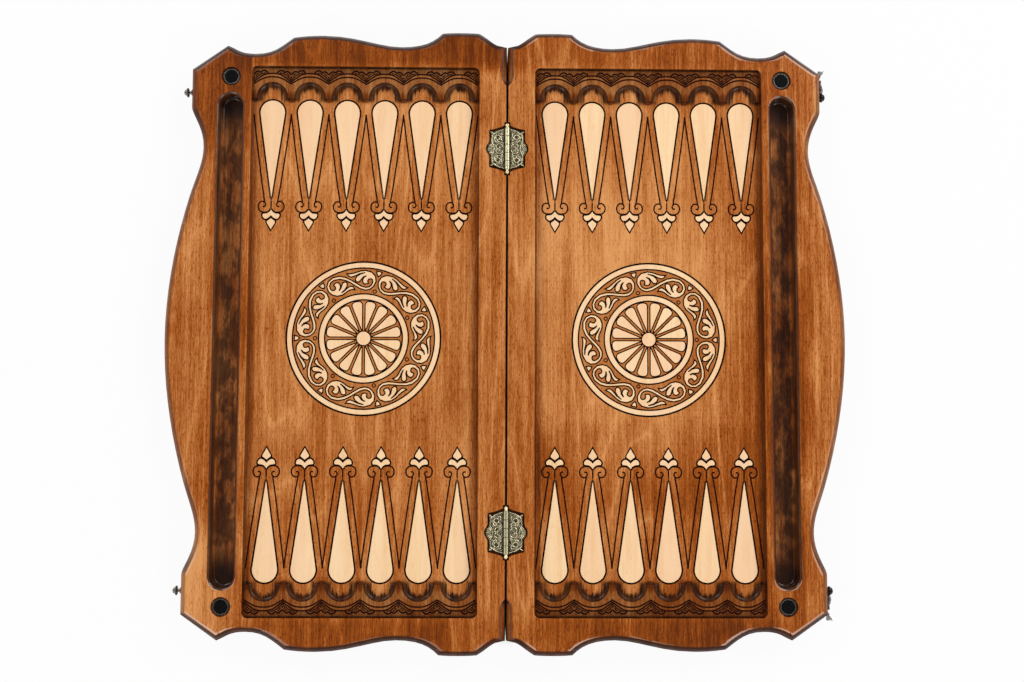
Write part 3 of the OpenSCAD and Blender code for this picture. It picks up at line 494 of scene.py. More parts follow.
def stained_beech():
    """The halves: stained beech, dark in the troughs, the carved strips and the burnt lines, with painted shade,
    shadows, dark reflections, a sheen and glints.
    """
    wood = bpy.context.scene.board_wood
    f = Finish("stained_beech")
    dark, relief = grain(f, wood.stave)
    side, end = f.size(f.x), f.size(f.y)
    # The underside stays plain
    upper = f.step(f.z, 4 * MM, 6 * MM)
    below_top = f.all_of(upper, f.step(f.z, BOARD_TOP - 0.3 * MM, BOARD_TOP - 0.9 * MM))
    field_in, field_out = FIRST_X - 18 * MM, FIRST_X + (ROW_POINTS - 1) * PITCH + 18 * MM
    field_end = POINT_TOP + 29.6 * MM
    across_field = f.inside(side, field_in - 0.1 * MM, field_out + 0.1 * MM)
    recess = f.all_of(across_field, f.step(end, field_end + 0.3 * MM, field_end - 0.1 * MM), below_top)
    strip = f.all_of(recess, f.step(end, POINT_TOP + 1.2 * MM, POINT_TOP + 2.2 * MM))
    plateau = f.step(f.z, STRIP_Z - 0.5 * MM, STRIP_Z - 0.1 * MM)
    in_trough = f.all_of(upper, f.inside(side, TROUGH_X - 13.2 * MM, TROUGH_X + 13.2 * MM),
                         f.step(end, DISC_HIGH.y - 18 * MM, DISC_HIGH.y - 20 * MM))
    patch = f.noise(f.stretched(120, 52, 60), detail=3, rough=0.55)
    streaks = f.noise(f.stretched(520, 34, 60), detail=3, rough=0.6)
    trough_rim = f.all_of(in_trough, f.step(f.z, BOARD_TOP - 0.02 * MM, BOARD_TOP - 0.3 * MM))
    trough_floor = f.all_of(in_trough, f.step(f.z, BOARD_TOP - 9 * MM, BOARD_TOP - 14.4 * MM))
    trough_end = f.all_of(trough_rim, f.step(end, DISC_HIGH.y - 64 * MM, DISC_HIGH.y - 36 * MM))
    # Distances from the nearest point's axis, from the middle of its scallop and from the nearest cusp's foot
    along = f.math("PINGPONG", f.minus(side, FIRST_X), PITCH / 2)
    rise = f.minus(end, SCALLOP_Y)
    reach = f.far(along, rise)
    lift = f.plus(rise, 1.2 * MM)
    foot = f.far(f.ratio(f.minus(PITCH / 2, along), 3.9 * MM),
                 f.any_of(f.ratio(lift, 7 * MM), f.ratio(lift, -2.8 * MM)))
    above_arc = f.step(reach, 20.2 * MM, 21 * MM)
    low = f.all_of(recess, f.less(plateau))
    ragged = f.plus(reach, f.spread(streaks, 12 * MM))
    # Painted shade in streaks on the scallops' coves, on the bowls' floors and on the cusps' fronts
    cove = f.all_of(low, f.step(ragged, 6.4 * MM, 10 * MM), f.step(rise, -5.4 * MM, 0))
    bowl = f.all_of(low, f.step(reach, 4 * MM, 12 * MM), f.step(rise, -9 * MM, 3 * MM))
    cusp_front = f.all_of(strip, f.inside(f.z, FIELD_Z + 0.4 * MM, STRIP_Z - 0.15 * MM),
                          f.step(reach, 13.9 * MM, 14.3 * MM))
    # Painted shadow under the foot of each cusp
    cusp_foot_shadow = f.all_of(recess, f.step(foot, 1.35, 0.35), f.inside(rise, -9 * MM, 9 * MM))
    spray = f.all_of(strip, plateau, above_arc, f.step(along, 3.2 * MM, 6 * MM),
                     f.step(end, SCALLOP_Y + 23.8 * MM, SCALLOP_Y + 22.4 * MM))
    # Stain and painted shade along the strip's end wall
    strip_edge = f.all_of(strip, f.step(end, field_end - 3.4 * MM, field_end - 0.8 * MM))
    # Pooled stain and painted shade on the field near its side walls
    field_edge = f.all_of(recess, f.less(f.inside(side, field_in + 4 * MM, field_out - 4 * MM, 6 * MM)))
    # Painted shade on the field's side walls
    wall_shade = f.all_of(recess, f.less(f.inside(side, field_in + 2.4 * MM, field_out - 2.4 * MM, 1.6 * MM)),
                    f.inside(f.z, FIELD_Z + 0.2 * MM, BOARD_TOP - 0.4 * MM))
    # Painted shade in the gap round the hinge leaves
    mortise_shade = f.all_of(f.step(side, 19.8 * MM, 19.2 * MM), below_top,
                       f.step(f.size(f.minus(end, HINGE_Y)), 25 * MM, 24.5 * MM))
    # Painted shadow round the corner discs in their seats
    disc_seat_shadow = f.all_of(f.inside(side, TROUGH_X - 9 * MM, TROUGH_X + 9 * MM),
                         f.inside(end, DISC_HIGH.y - 16.5 * MM, DISC_HIGH.y + 1.6 * MM), below_top)
    # Painted shade in the gap between the halves
    seam_shade = f.all_of(upper, f.step(side, 1.3 * MM, 0.8 * MM))
    field_line = f.all_of(recess, f.step(f.z, FIELD_Z - 0.02 * MM, FIELD_Z - 0.1 * MM))
    strip_line = f.all_of(strip, f.inside(f.z, STRIP_Z - 1.1 * MM, STRIP_Z - 0.08 * MM, 0.1 * MM),
                          f.step(reach, 14.6 * MM, 15.2 * MM))
    outside = f.less(f.any_of(
        f.all_of(across_field, below_top, f.step(end, field_end + 0.6 * MM, field_end + 0.2 * MM)),
        f.all_of(in_trough, f.step(f.z, BOARD_TOP - 0.1 * MM, BOARD_TOP - 0.3 * MM)),
    ))
    # Scorched rims of the grooves round the points and the medallion
    head_y = POINT_TOP - POINT_R
    flank_length = head_y - POINT_TIP
    slope = math.asin(POINT_R / flank_length)
    flank_length *= math.cos(slope)
    down = f.minus(end, POINT_TIP)
    flank = f.minus(f.scaled(along, math.cos(slope)), f.scaled(down, math.sin(slope)))
    beyond = f.plus(f.scaled(along, math.sin(slope)), f.scaled(down, math.cos(slope)))
    on_head = f.step(beyond, flank_length - 0.01 * MM, flank_length)
    away = f.mix_number(on_head, flank, f.minus(f.far(along, f.minus(end, head_y)), POINT_R))
    past_ring = f.minus(f.far(f.minus(side, MEDALLION_X), f.y), RING_R)
    scorched = f.all_of(recess, f.any_of(
        f.all_of(f.inside(away, 0.8 * MM, 1.5 * MM, 0.2 * MM), f.step(end, POINT_TIP - 1 * MM, POINT_TIP)),
        f.inside(past_ring, 0.8 * MM, 1.4 * MM, 0.2 * MM),
    ))
    # Painted dark reflection and shade on the rounded edge, stronger on the faces towards the front and the rear
    # than along the sides
    normal = f.node("ShaderNodeSeparateXYZ", Vector=f.normal).outputs
    leaning, facing = normal["X"], normal["Y"]
    not_under = f.step(normal["Z"], -0.9, -0.4)
    toward_ends = f.step(f.size(facing), 0.06, 0.4)
    rounded = f.all_of(outside, not_under, f.step(f.z, BOARD_TOP - 0.1 * MM, BOARD_TOP - 0.6 * MM))
    edge = f.all_of(rounded, f.between(toward_ends, 0.5, 0.92))
    shoulder = f.all_of(rounded, f.step(f.z, BOARD_TOP - 4.4 * MM, BOARD_TOP - 2.6 * MM))
    # Painted dark reflection along the rounded edge near the seam's notches
    notch_line = f.all_of(rounded, f.inside(f.z, BOARD_TOP - 1 * MM, BOARD_TOP - 0.04 * MM, 0.1 * MM),
                          f.step(side, 17 * MM, 13 * MM))
    # Darker towards the front, at two of the corners, on the rails and on the rims, whose ends also take painted
    # shade;
    # stain pooled and painted shade along the field's walls; a little painted shade on the left half;
    # a painted sheen in the middle of the right half; painted shadow under the cusps' feet
    right, rear = f.step(f.x, -4 * MM, 4 * MM), f.step(f.y, -20 * MM, 20 * MM)

    def quarters(rear_left, rear_right, front_left, front_right):
        """A number for each quarter of the board."""
        return f.between(rear, f.between(right, front_left, front_right), f.between(right, rear_left, rear_right))

    outer = f.step(side, field_out - 20 * MM, field_out + 26 * MM)
    # Rims at the ends: darker from stain and from painted shade
    rim_end = f.all_of(outside, f.step(end, field_end - 12 * MM, field_end + 8 * MM), f.less(outer))
    corner = f.all_of(outside, f.step(end, 0.14, 0.2), outer)
    rail = f.all_of(outside, f.inside(side, field_out, TROUGH_X + 16 * MM, 3 * MM))
    # Painted sheen: paler colour in the middle of the right half, where a broad light's reflection falls
    painted_sheen = f.all_of(right, f.inside(side, 0.07, 0.2, 0.06), f.inside(f.y, -0.11, 0.13, 0.08))
    beside_seam = f.all_of(right, f.inside(side, 0.026, 0.05, 0.012), f.inside(f.y, -0.1, 0.13, 0.06))
    far_side = f.all_of(right, f.step(side, 0.17, 0.215), f.inside(f.y, -0.1, 0.13, 0.06))
    front_band = f.all_of(right, recess, f.inside(f.y, -0.15, -0.076, 0.02))
    front_lobe = f.all_of(rim_end, f.less(rear), f.step(side, 0.06, 0.03))
    # Darker towards the front, and a little darker on the left half as painted shade
    to_front, to_left = f.step(f.y, 0.2, -0.24), f.step(f.x, 0.02, -0.02)
    for mask, amount in (
        (to_front, 0.1), (to_left, 0.03), (field_edge, 0.22), (painted_sheen, -0.2), (beside_seam, -0.18),
        (far_side, 0.1), (front_band, 0.12), (rim_end, quarters(0.5, 0.22, 0.3, 0.36)),
        (corner, quarters(0.3, 0.06, -0.42, 0.06)), (rail, quarters(0.18, 0.1, 0.14, 0.12)),
        (cusp_foot_shadow, 0.45), (front_lobe, quarters(0, 0, -0.16, -0.34)),
    ):
        dark = f.plus(dark, f.scaled(mask, amount))
    stain = beech_colour(f, dark)
    # The troughs are dark from stain and painted shade, darkest towards their ends, with paler blots on the floor,
    # above all on the left half
    trough_stain_and_shade = f.between(f.all_of(trough_floor, f.less(right)), 0.88, 0.76)
    blots = f.all_of(trough_floor, f.step(patch, 0.38, 0.68), f.between(right, 1.2, 0.9))
    # Darkened towards the dark stain and shade colour: stain on the strips and sprays; painted shade and shadow in
    # the troughs, coves, bowls, at the cusps, on the walls, strip edges, rounded edge, disc seats, mortises and
    # notches
    shades = f.any_of(
        f.all_of(trough_rim, f.minus(trough_stain_and_shade, blots)), f.scaled(trough_end, 0.93),
        f.all_of(cove, f.plus(0.66, f.scaled(streaks, 0.5))), f.scaled(bowl, 0.4),
        f.scaled(cusp_front, 0.9), f.scaled(cusp_foot_shadow, 0.5),
        f.scaled(spray, 0.6), f.scaled(f.all_of(strip, plateau, above_arc), 0.66),
        f.scaled(f.all_of(strip, plateau), 0.46), f.scaled(strip_edge, 0.95), f.scaled(wall_shade, 0.66),
        edge, f.scaled(disc_seat_shadow, 0.9), f.scaled(mortise_shade, 0.92), f.scaled(notch_line, 0.72),
    )
    uneven = f.plus(0.8, f.scaled(patch, 0.4))
    stain = f.mix(f.capped(f.scaled(shades, uneven)), stain, wood.dark_stain_and_shade)
    # Painted glint: pale colour along the inner border of the rounded edge, most of all on the slanting outlines
    slant = f.all_of(f.step(f.size(facing), 0.02, 0.08), f.step(f.size(leaning), 0.02, 0.08))
    inner_border = f.inside(f.z, BOARD_TOP - 0.34 * MM, BOARD_TOP - 0.05 * MM, 0.08 * MM)
    past_notch = f.step(side, 14 * MM, 22 * MM)
    glint_strength = f.any_of(quarters(0.1, 0.75, 0.4, 1.0), f.scaled(corner, quarters(0.1, 0.6, 1.4, 1.0)))
    painted_glint = f.all_of(outside, past_notch, glint_strength, inner_border, slant)
    stain = f.mix(f.capped(f.scaled(painted_glint, 0.6)), stain, wood.painted_glint)
    # Burnt lines and scorched rims, with the painted shade of the seam between the halves in the burnt colour
    lines = f.any_of(field_line, strip_line, seam_shade, scorched)
    stain = f.mix(lines, stain, wood.burnt)
    matt = f.any_of(lines, f.all_of(outside, f.step(f.z, BOARD_TOP - 3 * MM, BOARD_TOP - 4.4 * MM)))
    rough = f.plus(wood.sheen - 0.05, f.scaled(dark, 0.1), f.scaled(matt, 0.55))
    glossy = f.any_of(
        f.all_of(shoulder, past_notch, f.between(f.step(facing, 0.0, 0.5), 0.35, 1.0)),
        trough_rim, f.all_of(cove, f.scaled(f.step(patch, 0.46, 0.6), 0.3)),
    )
    varnish = f.plus(0.05, f.scaled(glossy, 0.85))
    return f.surface(
        "ShaderNodeBsdfPrincipled", Base_Color=stain, Roughness=f.capped(rough),
        Specular_IOR_Level=0.1, Coat_Weight=f.scaled(varnish, f.less(matt)), Coat_Roughness=0.16,
        Normal=f.bump(relief, 0.22, 0.1 * MM),
    )


def light_beech():
    """The inlays: pale beech with fine flecks, each piece a little different, its sides burnt."""
    wood = bpy.context.scene.board_wood
    f = Finish("light_beech")
    streak = f.noise(f.stretched(300, 14, 40), detail=3, rough=0.6)
    fleck = f.step(f.noise(f.stretched(1100, 150, 300), detail=1), 0.6, 0.74)
    # A number for each point: its row and its end of the board
    which = f.math("FLOOR", f.ratio(f.minus(f.x, FIRST_X - PITCH / 2), PITCH))
    which = f.plus(which, f.scaled(f.math("SIGN", f.y), 17.0))
    own = f.node("ShaderNodeTexWhiteNoise", {"noise_dimensions": "1D"}, W=which).outputs["Value"]
    cloud = f.noise(f.stretched(70, 16, 20), detail=2)
    dark = f.plus(
        f.scaled(f.step(streak, 0.35, 0.75), 0.34), f.scaled(fleck, 0.4), f.scaled(own, 0.18),
        f.scaled(f.step(cloud, 0.45, 0.7), 0.22),
    )
    pale = f.mix(f.capped(dark), wood.inlay, wood.inlay_fleck)
    rosy = f.math("FRACT", f.scaled(own, 7.0))
    pale = f.mix(f.scaled(rosy, 0.5), pale, wood.inlay_rosy)
    burnt = f.step(f.z, FIELD_Z - 0.01 * MM, FIELD_Z - 0.09 * MM)
    pale = f.mix(burnt, pale, wood.burnt)
    return f.surface(
        "ShaderNodeBsdfPrincipled", Base_Color=pale, Roughness=f.between(burnt, wood.sheen + 0.04, 0.95),
        Specular_IOR_Level=0.15, Coat_Weight=f.between(burnt, 0.15, 0.0), Coat_Roughness=0.25,
        Normal=f.bump(streak, 0.12, 0.05 * MM),
    )


def medallion_veneer():
    """The stained veneer between the scrolls, its sides burnt."""
    wood = bpy.context.scene.board_wood
    f = Finish("medallion_veneer")
    dark, relief = grain(f, wood.stave)
    stain = f.mix(0.45, beech_colour(f, dark), wood.ground)
    burnt = f.step(f.z, FIELD_Z - 0.02 * MM, FIELD_Z - 0.1 * MM)
    stain = f.mix(burnt, stain, wood.burnt)
    return f.surface(
        "ShaderNodeBsdfPrincipled", Base_Color=stain, Roughness=f.between(burnt, wood.sheen + 0.04, 0.95),
        Specular_IOR_Level=0.12, Coat_Weight=f.between(burnt, 0.1, 0.0), Coat_Roughness=0.22,
        Normal=f.bump(relief, 0.2, 0.1 * MM),
    )


def worn_brass():
    """The hinges: bright worn brass on the high places and dark patina on the ground."""
    metal = bpy.context.scene.board_metal
    f = Finish("worn_brass")
    grit = f.noise(f.stretched(1400, 1400, 1400), detail=3, rough=0.6)
    patch = f.noise(f.stretched(420, 420, 420), detail=2)
    worn = f.step(f.z, LEAF_TOP + 0.06 * MM, LEAF_TOP + 0.3 * MM)
    worn = f.scaled(worn, f.plus(0.7, f.scaled(f.step(grit, 0.3, 0.7), 0.3)))
    worn = f.plus(worn, f.scaled(f.step(grit, 0.55, 0.75), 0.12))
    # Painted shade and dirt beside the barrel, and dark joints between its knuckles
    side, along = f.size(f.x), f.size(f.minus(f.size(f.y), HINGE_Y))
    joint = f.any_of(f.inside(along, 3.4 * MM, 4 * MM, 0.2 * MM), f.inside(along, 10.8 * MM, 11.4 * MM, 0.2 * MM))
    dirt_and_shade = f.any_of(f.inside(side, 1.75 * MM, 2.9 * MM, 0.6 * MM), f.all_of(joint, f.step(side, 2.4 * MM, 2.2 * MM)))
    worn = f.scaled(f.capped(worn), f.less(f.scaled(dirt_and_shade, 0.9)))
    ground = f.mix(f.step(patch, 0.35, 0.6), metal.soot, metal.patina)
    ground = f.mix(f.scaled(dirt_and_shade, 0.8), ground, metal.soot)
    shade = f.mix(worn, ground, metal.brass)
    rough = f.minus(0.5, f.scaled(worn, 0.16))
    return f.surface(
        "ShaderNodeBsdfPrincipled", Base_Color=shade, Metallic=1.0, Roughness=rough,
        Normal=f.bump(grit, 0.25, 0.08 * MM),
    )


def latch_grey():
    """The latches and screws: dull grey metal with browned hollows."""
    metal = bpy.context.scene.board_metal
    f = Finish("latch_grey")
    grit = f.noise(f.stretched(900, 900, 900), detail=3, rough=0.6)
    shade = f.mix(f.scaled(f.step(grit, 0.35, 0.7), 0.6), metal.dark, metal.soot)
    blackened = f.all_of(f.step(f.size(f.y), LATCH_Y + 5 * MM, LATCH_Y + 3 * MM), f.step(f.x, 0, 0.1))
    shade = f.mix(f.scaled(blackened, 0.8), shade, metal.enamel)
    return f.surface(
        "ShaderNodeBsdfPrincipled", Base_Color=shade, Metallic=1.0, Roughness=f.plus(0.3, f.scaled(grit, 0.2)),
        Normal=f.bump(grit, 0.2, 0.05 * MM),
    )


def nail_brown():
    """The nails that hold the hinges, browned and almost black."""
    metal = bpy.context.scene.board_metal
    f = Finish("nail_brown")
    grit = f.noise(f.stretched(2000, 2000, 2000), detail=2)
    shade = f.mix(f.step(grit, 0.4, 0.7), tone(26, 20, 16), metal.patina)
    return f.surface("ShaderNodeBsdfPrincipled", Base_Color=shade, Metallic=1.0, Roughness=0.45)


def black_enamel():
    """The faces of the corner discs."""
    metal = bpy.context.scene.board_metal
    f = Finish("black_enamel")
    speck = f.noise(f.stretched(700, 700, 700), detail=2)
    shade = f.mix(f.scaled(f.step(speck, 0.55, 0.8), 0.5), metal.enamel, tone(38, 36, 34))
    return f.surface(
        "ShaderNodeBsdfPrincipled", Base_Color=shade, Roughness=f.plus(0.16, f.scaled(speck, 0.1)),
        Specular_IOR_Level=0.2, Coat_Weight=0.3, Coat_Roughness=0.08,
    )


MADE = {}


def material(recipe):
    """The material that a recipe makes, made once."""
    if recipe not in MADE:
        MADE[recipe] = recipe()
    return MADE[recipe]


def paint(piece, *recipes):
    piece.data.materials.clear()
    for recipe in recipes:
        piece.data.materials.append(material(recipe))


def mirrored(line, flip):
    return [(-x, y) if flip else (x, y) for x, y in line]


def flank_line():
    """Half of the long line from midway between two points down to a point's volute, in X from its axis."""
    tip = POINT_TIP / MM
    return [(PITCH / MM / 2, tip + 75.6), (15.9, tip + 69), (7.6, tip + 8), (6.6, tip + 2), (5.7, tip - 3.6)]


def volute_line():
    """The curl beside a point's tip, in X from its axis."""
    tip = POINT_TIP / MM
    curl = [
        (0.8, -10), (1.6, -11.6), (3.2, -12.7), (5, -13), (7.2, -12.9), (9.2, -12.2), (10.9, -10.4), (11.4, -7.8),
        (10.6, -5), (8.4, -3.4), (6.4, -3.6), (5.1, -5), (5, -6.8), (6, -8), (7.4, -7.7),
    ]
    return [(x, y + tip) for x, y in curl]


def scallop_lines():
    """The two lines that follow each scallop, from the peak down to the cusp beside it."""
    base = SCALLOP_Y / MM
    outer = [(0, 21.5), (4, 21.2), (7.8, 20.1), (10.7, 18.2), (14.5, 15.5), (16.8, 13.8)]
    inner = [(0, 18.4), (4.8, 18), (10, 16.1), (13.7, 13.9), (16.9, 12)]
    return [[(x, y + base) for x, y in line] for line in (outer, inner)]


def leaf_outline():
    """Top of a carved leaf, from the cusp's axis outwards and back along the scallop line."""
    base = SCALLOP_Y / MM
    line = [(0.2, 20.4), (1.4, 21.8), (3, 23.1), (4.6, 23.1), (5.9, 22.4), (7.4, 23.6), (9.4, 24.1), (11.3, 23.2),
            (12.7, 21.6)]
    return [(x, y + base) for x, y in line]


def leaf_veins():
    """Cuts inside a carved leaf, from the cusp's axis outwards: its stem and two veins."""
    base = SCALLOP_Y / MM
    veins = [
        [(-1.4, 14.9), (0.4, 16.1), (2.4, 17.9), (5, 20), (7.6, 21.4), (10.4, 22)],
        [(1.6, 18.8), (3, 20.6), (4.4, 21.6)],
        [(-0.8, 17.4), (0.6, 18.6)],
    ]
    return [[(x, y + base) for x, y in vein] for vein in veins]


def carve(piece, name, local_line, centres, radius, level):
    """Cuts one line at every centre, at both ends of the half. Lines that would cross go in separate passes."""
    height = level + bpy.context.scene.board_carving.line_lift
    lines = [
        [((centre + x) * MM, end * y * MM, height) for x, y in local_line]
        for end in ENDS.values() for centre in centres
    ]
    combine(piece, strokes(f"{name}_tool", lines, radius), "DIFFERENCE")


def divide(piece, side):
    """Splits the half's large faces along level and upright planes, so that each cut crosses small faces."""
    pick(piece)
    bpy.ops.object.mode_set(mode="EDIT")
    planes = [((side * (FIRST_X + (i - 1) * PITCH / 2), 0, 0), (1, 0, 0)) for i in range(2 * ROW_POINTS + 1)]
    levels = (POINT_TIP - 22 * MM, POINT_TIP - 1 * MM, SCALLOP_Y + 14.2 * MM, SCALLOP_Y + 18.4 * MM,
              SCALLOP_Y + 21.4 * MM, SCALLOP_Y + 24.4 * MM)
    planes += [((0, end * level, 0), (0, 1, 0)) for end in ENDS.values() for level in levels]
    for place, normal in planes:
        bpy.ops.mesh.select_all(action="SELECT")
        bpy.ops.mesh.bisect(plane_co=place, plane_no=normal, threshold=0.0001 * MM)
    bpy.ops.object.mode_set(mode="OBJECT")


def add_noses(piece, side, centres):
    """Rounds the foot of every cusp between two scallops down to the field."""
    front, sunk = POINT_TOP + 2.5 * MM, 0.3 * MM
    half_size = (3 * MM, 3.4 * MM, 4.1 * MM)
    noses = []
    for end in ENDS.values():
        for centre in centres:
            place = (centre * MM, end * front, FIELD_Z - sunk)
            bpy.ops.mesh.primitive_uv_sphere_add(segments=20, ring_count=12, radius=1, location=place)
            noses.append(bpy.context.object)
            noses[-1].scale = half_size
    combine(piece, joined(*noses), "UNION")


def carve_half(piece, side):
    """Noses, burnt lines on the field and carved strips of one half."""
    carving = bpy.context.scene.board_carving
    divide(piece, side)
    axes = [side * (FIRST_X + i * PITCH) / MM for i in range(ROW_POINTS)]
    cusps = [side * (FIRST_X + (i + 0.5) * PITCH) / MM for i in range(ROW_POINTS - 1)]
    first = side * (FIRST_X - PITCH / 2) / MM
    last = side * (FIRST_X + (ROW_POINTS - 0.5) * PITCH) / MM
    outer, inner = scallop_lines()
    add_noses(piece, side, cusps)
    for flip in (False, True):
        # The strip's two ends carry half a spray each
        sprays = cusps + [last if (side > 0) == flip else first]
        for name, line, centres, radius, level in (
            ("flank", flank_line(), axes, carving.line_radius, FIELD_Z),
            ("volute", volute_line(), axes, carving.line_radius, FIELD_Z),
            ("outer", outer, axes, carving.arc_radius, STRIP_Z),
            ("inner", inner, axes, carving.arc_radius, STRIP_Z),
            ("leaf", leaf_outline(), sprays, carving.leaf_radius, STRIP_Z),
            *(("vein", vein, sprays, carving.vein_radius, STRIP_Z) for vein in leaf_veins()),
        ):
            carve(piece, name, mirrored(line, flip), centres, radius, level)


class BOARD_OT_halves(Operator):
    """Carves the burnt lines, the scallop lines and the leaf sprays into both halves and stains them"""

    bl_idname = "board.halves"
    bl_label = "Carved halves"

    def execute(self, context):
        for half, side in HALVES.items():
            piece = copied(f"{half}_board", f"{half}_half_carved")
            carve_half(piece, side)
            smooth(piece)
            paint(piece, stained_beech)
        return {"FINISHED"}


class BOARD_OT_inlays(Operator):
    """Eases and burns the edges of the points, their tips, the rings, the rosettes and the scrolls"""

    bl_idname = "board.inlays"
    bl_label = "Light inlays"

    def execute(self, context):
        for half in HALVES:
            carving = context.scene.board_carving
            nodes = {f"{half}_{end}_{kind}": carving.point_edge for end in ENDS for kind in ("points", "point_tips")}
            nodes |= {f"{half}_{kind}": carving.medallion_edge for kind in ("medallion_rings", "rosette", "scrolls")}
            for node, edge in nodes.items():
                piece = copied(node, f"{node}_inlay")
                ease(piece, edge, 50)
                smooth(piece)
                paint(piece, light_beech)
        return {"FINISHED"}


class BOARD_OT_medallion_grounds(Operator):
    """Cuts the small burnt rings into the medallions' grounds and stains them"""

    bl_idname = "board.medallion_grounds"
    bl_label = "Medallion grounds"

    def execute(self, context):
        rings, ring_place, ring_radius, ring_depth = 7, 42.4 * MM, 1.5 * MM, 0.5 * MM
        for half, side in HALVES.items():
            piece = copied(f"{half}_medallion_ground", f"{half}_ground_veneer")
            ease(piece, context.scene.board_carving.medallion_edge, 50, segments=1)
            tools = []
            for i in range(rings):
                angle = 2 * math.pi * i / rings
                place = (side * (MEDALLION_X + ring_place * math.cos(angle)), -ring_place * math.sin(angle), FIELD_Z)
                tools.append(ring(place, ring_radius, ring_depth, 24))
            combine(piece, joined(*tools), "DIFFERENCE")
            smooth(piece)
            paint(piece, medallion_veneer)
        return {"FINISHED"}


class BOARD_OT_corner_discs(Operator):
    """Finishes the corner discs with black faces and worn metal rims"""

    bl_idname = "board.corner_discs"
    bl_label = "Corner discs"

    def execute(self, context):
        rim_inner, rim_edge = 6.3 * MM, 0.15 * MM
        for half in HALVES:
            piece = copied(f"{half}_corner_discs", f"{half}_disc_pair")
            ease(piece, rim_edge, 40)
            smooth(piece)
            paint(piece, black_enamel, latch_grey)
            middle = DISC_HIGH.y - (DISC_HIGH.x - DISC_LOW.x) / 2
            for face in piece.data.polygons:
                away = math.hypot(abs(face.center.x) - TROUGH_X, abs(face.center.y) - middle)
                face.material_index = 1 if away > rim_inner else 0
        return {"FINISHED"}


def leaf_relief():
    """Raised ornament of a hinge leaf, in X from the fold and Y from the hinge's middle: rim, scrolls, bosses."""
    rim = [(2.6, 17.6), (5, 16.7), (8.5, 15.6), (11.6, 13.4), (13, 12.4), (13.2, 9.4), (13.6, 6.8), (13.2, 5),
           (12.2, 3.4), (11.8, 1.6), (11.7, 0)]
    spike = [(12.2, 13.8), (13.4, 14.6), (14.4, 15.2)]
    scroll = [(3.6, 1.2), (4.6, 3.4), (6.8, 4.4), (9, 3.6), (9.6, 1.6), (8.4, 0.3), (6.9, 0.9), (7, 2.3)]
    tendril = [(4, 6.6), (5.2, 8.2), (5.2, 10.4), (4.4, 12.6), (5.4, 14.2)]
    branch = [(8.4, 5.8), (10.4, 6.8), (11.4, 8.8), (10.9, 10.8)]
    curl = [(3.8, 4.6), (5.6, 6), (7.4, 6.2), (8.6, 7.2), (8.2, 8)]
    ribs = [
        [(13.4, 0.2), (16.9, 0.3)], [(13.3, 1), (16.5, 1.7)], [(13, 1.8), (15.6, 3.2)], [(12.8, 2.6), (14.6, 4.4)],
    ]
    return [rim, spike, scroll, tendril, branch, curl, *ribs]


def leaf_tracery():
    """Fine raised lines that fill the ground of a hinge leaf, in X from the fold and Y from the hinge's middle."""
    return [
        [(3.1, 8.9), (3.9, 10.2), (3.5, 11.6)], [(5.9, 12.9), (7, 13.7), (8.6, 13.7), (9.9, 12.8)],
        [(5.5, 0.5), (5.8, 1.6), (5.3, 2.6)], [(10.5, 1.6), (10.4, 3.2), (11.1, 4.6)],
        [(3, 2.4), (3.2, 3.6), (3, 4.8)], [(6.1, 7.4), (5.9, 8.6), (6.1, 9.6)],
        [(9.9, 5), (11.4, 5.6), (12.4, 7.2)], [(3.1, 14), (4.1, 15.2), (5.6, 15.4)],
        [(7.1, 15), (9, 14.4), (10.5, 13)], [(9.2, 4.8), (9.6, 6), (9.2, 7.2)], [(3, 6.2), (4, 5.6), (5, 6.6)],
        [(11.9, 8.4), (12.3, 9.8), (11.9, 11.2)], [(4.2, 2.6), (5.6, 3), (6.6, 3.4)], [(10.8, 0.2), (11.1, 1)],
    ]


class BOARD_OT_hinges(Operator):
    """Raises the ornament on the hinge leaves and finishes leaves, pins and nails"""

    bl_idname = "board.hinges"
    bl_label = "Hinges"

    def execute(self, context):
        relief_radius, fine_radius, sunk = 0.42 * MM, 0.29 * MM, 0.1 * MM
        nail_place, nail_ring, ring_wire = Vector((8.3, 10.3)) * MM, 2.1 * MM, 0.36 * MM
        for end, rear in ENDS.items():
            for half, side in HALVES.items():
                leaf = copied(f"{end}_hinge_{half}_leaf", f"{end}_{half}_leaf")
                smooth(leaf)
                paint(leaf, worn_brass)
                rods = []
                for name, relief, radius in (
                    ("leaf_ornament", leaf_relief(), relief_radius), ("leaf_tracery", leaf_tracery(), fine_radius),
                ):
                    lines = [
                        [(side * x * MM, rear * HINGE_Y + flip * y * MM, LEAF_TOP - sunk) for x, y in line]
                        for line in relief for flip in (1, -1)
                    ]
                    rods.append(strokes(f"{end}_{half}_{name}", lines, radius))
                for flip in (1, -1):
                    place = (side * nail_place.x, rear * HINGE_Y + flip * nail_place.y, LEAF_TOP)
                    rods.append(ring(place, nail_ring, ring_wire, 32))
                ornament = joined(*rods)
                smooth(ornament, 50)
                paint(ornament, worn_brass)
                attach(ornament, f"{half}_half")
            pin = copied(f"{end}_hinge_pin", f"{end}_pin")
            smooth(pin)
            paint(pin, worn_brass)
        for half in HALVES:
            nails = copied(f"{half}_hinge_nails", f"{half}_nails")
            ease(nails, METAL_EDGE, 30)
            smooth(nails)
            paint(nails, nail_brown)
        return {"FINISHED"}


class BOARD_OT_latches(Operator):
    """Finishes the knobs, the swinging hooks and their screws"""

    bl_idname = "board.latches"
    bl_label = "Latches"

    def execute(self, context):
        for end in ENDS:
            for node, name in (
                (f"{end}_latch_knob", f"{end}_knob"),
                (f"{end}_latch_hook", f"{end}_hook_arm"),
                (f"{end}_hook_screw", f"{end}_screw"),
            ):
                piece = copied(node, name)
                ease(piece, METAL_EDGE, 40)
                smooth(piece, 40)
                paint(piece, latch_grey)
        return {"FINISHED"}


